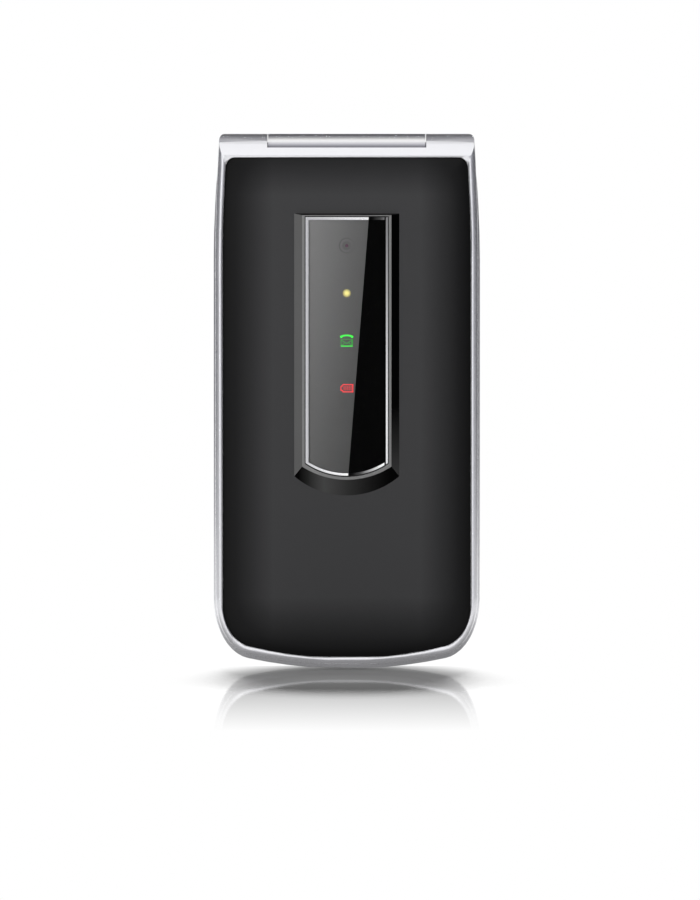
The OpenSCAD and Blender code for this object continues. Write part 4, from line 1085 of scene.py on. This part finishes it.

# %% [markdown]
# ## The table's white and its shadow
#
# Near the phone the table is matt white paint, which keeps the shadow. Outside an ellipse round the
# phone's foot it turns, for rays from the camera, into the same pure white as the background, so no floor
# line shows. Rays by way of a glossy surface see a painted shadow instead: the floor darker close to the
# phone, like its own contact shadow.

# %% Table white and shadow
round_phone = add(tree, "ShaderNodeMapping", inputs={"Location": (0, 0.676, 0), "Scale": (29.4, 14.7, 0)},
                  links={"Vector": place})
reach = add(tree, "ShaderNodeVectorMath", {"operation": "LENGTH"}, links={0: round_phone.outputs["Vector"]})
away = add(tree, "ShaderNodeMapRange", {"interpolation_type": "SMOOTHSTEP"},
           {"From Min": 0.55, "From Max": 1.05}, {"Value": reach.outputs["Value"]})
seen = add(tree, "ShaderNodeLightPath")
glow = add(tree, "ShaderNodeMath", {"operation": "MAXIMUM"},
           links={0: seen.outputs["Is Camera Ray"], 1: seen.outputs["Is Transmission Ray"]})
away = add(tree, "ShaderNodeMath", {"operation": "MULTIPLY"},
           links={0: away.outputs["Result"], 1: glow.outputs[0]})
paper = add(tree, "ShaderNodeBsdfDiffuse", inputs={"Color": linear("#f4f4f4")})
clean = add(tree, "ShaderNodeEmission", links={"Strength": glow.outputs[0]})
lit = add(tree, "ShaderNodeMixShader", links={0: away.outputs[0], 1: paper.outputs[0],
                                              2: clean.outputs[0]})
# Painted contact shadow that glossy rays see: darker close to the phone
squashed = add(tree, "ShaderNodeMapping", inputs={"Scale": (0.35, 1, 0)}, links={"Vector": place})
beside = add(tree, "ShaderNodeVectorMath", {"operation": "LENGTH"}, links={0: squashed.outputs["Vector"]})
painted_shadow = add(tree, "ShaderNodeMapRange", inputs={"From Min": 0.01, "From Max": 0.035, "To Min": 0.28},
          links={"Value": beside.outputs["Value"]})
painted_shadow = add(tree, "ShaderNodeEmission", links={"Strength": painted_shadow.outputs["Result"]})
lit = add(tree, "ShaderNodeMixShader", links={0: seen.outputs["Is Glossy Ray"], 1: lit.outputs[0],
                                              2: painted_shadow.outputs[0]})
mirror = add(tree, "ShaderNodeBsdfGlossy", inputs={"Color": linear("#ffffff"), "Roughness": 0.03})
top = add(tree, "ShaderNodeMixShader", links={0: mirrored.outputs[0], 1: lit.outputs[0],
                                              2: mirror.outputs[0]})
add(tree, "ShaderNodeOutputMaterial", links={"Surface": top.outputs[0]})
data.materials.append(white)
print("table nodes:", len(tree.nodes))

# %% [markdown]
# ## The room that shiny parts see
#
# The background is the world. Metal and lacquer need something to reflect, so glossy rays see a room with a
# left wall, a right wall and a ceiling, each a ramp from the white front of the room to darker sides. Which
# one a ray meets depends on its direction only. Large white cards in the scene would do the same, but they
# would also show in other views.

# %% Room for reflections
world = bpy.data.worlds.new("white_studio")
bpy.context.scene.world = world
world.use_nodes = True
tree = world.node_tree
tree.nodes.clear()
way = add(tree, "ShaderNodeTexCoord").outputs["Generated"]
split = add(tree, "ShaderNodeSeparateXYZ", links={"Vector": way})
front = add(tree, "ShaderNodeMapRange", inputs={"From Min": -1, "From Max": 1},
            links={"Value": split.outputs["Y"]}).outputs["Result"]
flat = add(tree, "ShaderNodeCombineXYZ", links={"X": split.outputs["X"], "Z": split.outputs["Z"]})
turn = add(tree, "ShaderNodeVectorMath", {"operation": "NORMALIZE"}, links={0: flat.outputs[0]})
turn = add(tree, "ShaderNodeSeparateXYZ", links={"Vector": turn.outputs["Vector"]})
rightness = add(tree, "ShaderNodeMapRange", inputs={"From Min": -0.5, "From Max": 0.5},
                links={"Value": turn.outputs["X"]})
topness = add(tree, "ShaderNodeMapRange", {"interpolation_type": "SMOOTHSTEP"},
              {"From Min": 0.45, "From Max": 0.8}, {"Value": turn.outputs["Z"]})
left_wall = ramp(tree, front, [(0, "#ffffff"), (0.08, "#ffffff"), (0.16, "#cacace"), (0.26, "#707074"),
                               (0.4, "#5c5c60"), (0.95, "#5c5c60"), (0.98, "#ffffff")])
right_wall = ramp(tree, front, [(0, "#cacad0"), (0.02, "#a6a6ae"), (0.08, "#92929a"), (0.2, "#64646a"),
                                (0.4, "#505056"), (0.95, "#505054"), (0.98, "#ffffff")])
ceiling = ramp(tree, front, [(0, "#ffffff"), (0.54, "#ffffff"), (0.66, "#a8a8aa"), (0.82, "#5e5e62"),
                             (0.92, "#26262a"), (0.99, "#202024"), (0.997, "#ffffff")])
walls = add(tree, "ShaderNodeMix", {"data_type": "RGBA"}, links={0: rightness.outputs["Result"],
                                                                 6: left_wall, 7: right_wall})
room = add(tree, "ShaderNodeMix", {"data_type": "RGBA"}, links={0: topness.outputs["Result"],
                                                                6: walls.outputs[2], 7: ceiling})
print("room nodes:", len(tree.nodes))

# %% [markdown]
# ## What each ray sees
#
# The camera sees plain white at strength 1. Glossy and clear surfaces see the room, except in a very small
# hole straight in front, where the camera itself would stand. All other rays see a weak even sky, which only
# lifts the shadows.

# %% What each ray sees
hole = add(tree, "ShaderNodeMapRange", inputs={"From Min": 0.0003, "From Max": 0.0007, "To Max": 1.2},
           links={"Value": front})
seen = add(tree, "ShaderNodeLightPath")
see = add(tree, "ShaderNodeMath", {"operation": "MAXIMUM"},
          links={0: seen.outputs["Is Glossy Ray"], 1: seen.outputs["Is Transmission Ray"]})
sky = add(tree, "ShaderNodeBackground", inputs={"Color": linear("#ffffff"), "Strength": SKY})
cards = add(tree, "ShaderNodeBackground",
            links={"Color": room.outputs[2], "Strength": hole.outputs["Result"]})
plain = add(tree, "ShaderNodeBackground", inputs={"Color": linear("#ffffff"), "Strength": 1})
around = add(tree, "ShaderNodeMixShader", links={0: see.outputs[0], 1: sky.outputs[0], 2: cards.outputs[0]})
backdrop = add(tree, "ShaderNodeMixShader", links={0: seen.outputs["Is Camera Ray"], 1: around.outputs[0],
                                                   2: plain.outputs[0]})
add(tree, "ShaderNodeOutputWorld", links={"Surface": backdrop.outputs[0]})
print("world nodes:", len(tree.nodes))

# %% [markdown]
# ## Lamps
#
# Two soft boxes: one low in front on the left, which lights the lid, and one high behind, which throws the
# shadow forward. They are wide, so the shadows have soft edges, and both are hidden from reflections,
# because the room already gives those. Reflective caustics are off: light that shiny parts throw on others
# only adds speckles.

# %% Lamps


def soft_box(name, place, size, watts, aim=(0, 0, 0.05)):
    """A square area lamp that points at aim and isn't seen itself."""
    light = bpy.data.lights.new(name, "AREA")
    light.shape, light.size, light.energy = "SQUARE", size, watts
    thing = bpy.data.objects.new(name, light)
    thing.location = place
    thing.rotation_euler = (Vector(aim) - Vector(place)).to_track_quat("-Z", "Y").to_euler()
    thing.visible_camera = False
    thing.visible_glossy = False
    bpy.context.scene.collection.objects.link(thing)
    return thing


soft_box("key_box", (-0.7, -1.3, 0.13), 0.6, 17.3)
soft_box("back_box", (0, 0.64, 0.77), 0.35, 15.5)
bpy.context.scene.cycles.caustics_reflective = False
print("lamps:", len(bpy.data.lights))

# %% [markdown]
# ## Camera
#
# The picture looks straight at the lid with almost no perspective, so the camera stands well back with a
# long lens. It is a little above the phone's middle, which opens up the table in front just enough to show
# the shadow. The frame is 700 by 900 pixels, and at 0.2 mm per pixel it is 0.18 m high at the phone. The
# phone's middle is at pixel column 346.75, and its chin at row 670.1.

# %% Camera
FRAME_H, STAND_BACK, EYE = 0.18, 1.6, 0.085
PIXEL, PHONE_COLUMN, CHIN_ROW = 0.2 * MM, 346.75, 670.1
middle = Vector(((350 - PHONE_COLUMN) * PIXEL, -0.008, (CHIN_ROW - 450) * PIXEL))
camera = bpy.data.cameras.new("camera")
camera.sensor_width = 36
camera.lens = 36 * STAND_BACK / FRAME_H
camera.clip_start, camera.clip_end = 0.01, 50
eye = bpy.data.objects.new("camera", camera)
eye.location = (middle.x, middle.y - STAND_BACK, EYE)
eye.rotation_euler = (middle - eye.location).to_track_quat("-Z", "Y").to_euler()
bpy.context.scene.collection.objects.link(eye)
bpy.context.scene.camera = eye
bpy.context.scene.view_settings.view_transform = "Standard"
print("lens", round(camera.lens), "mm")
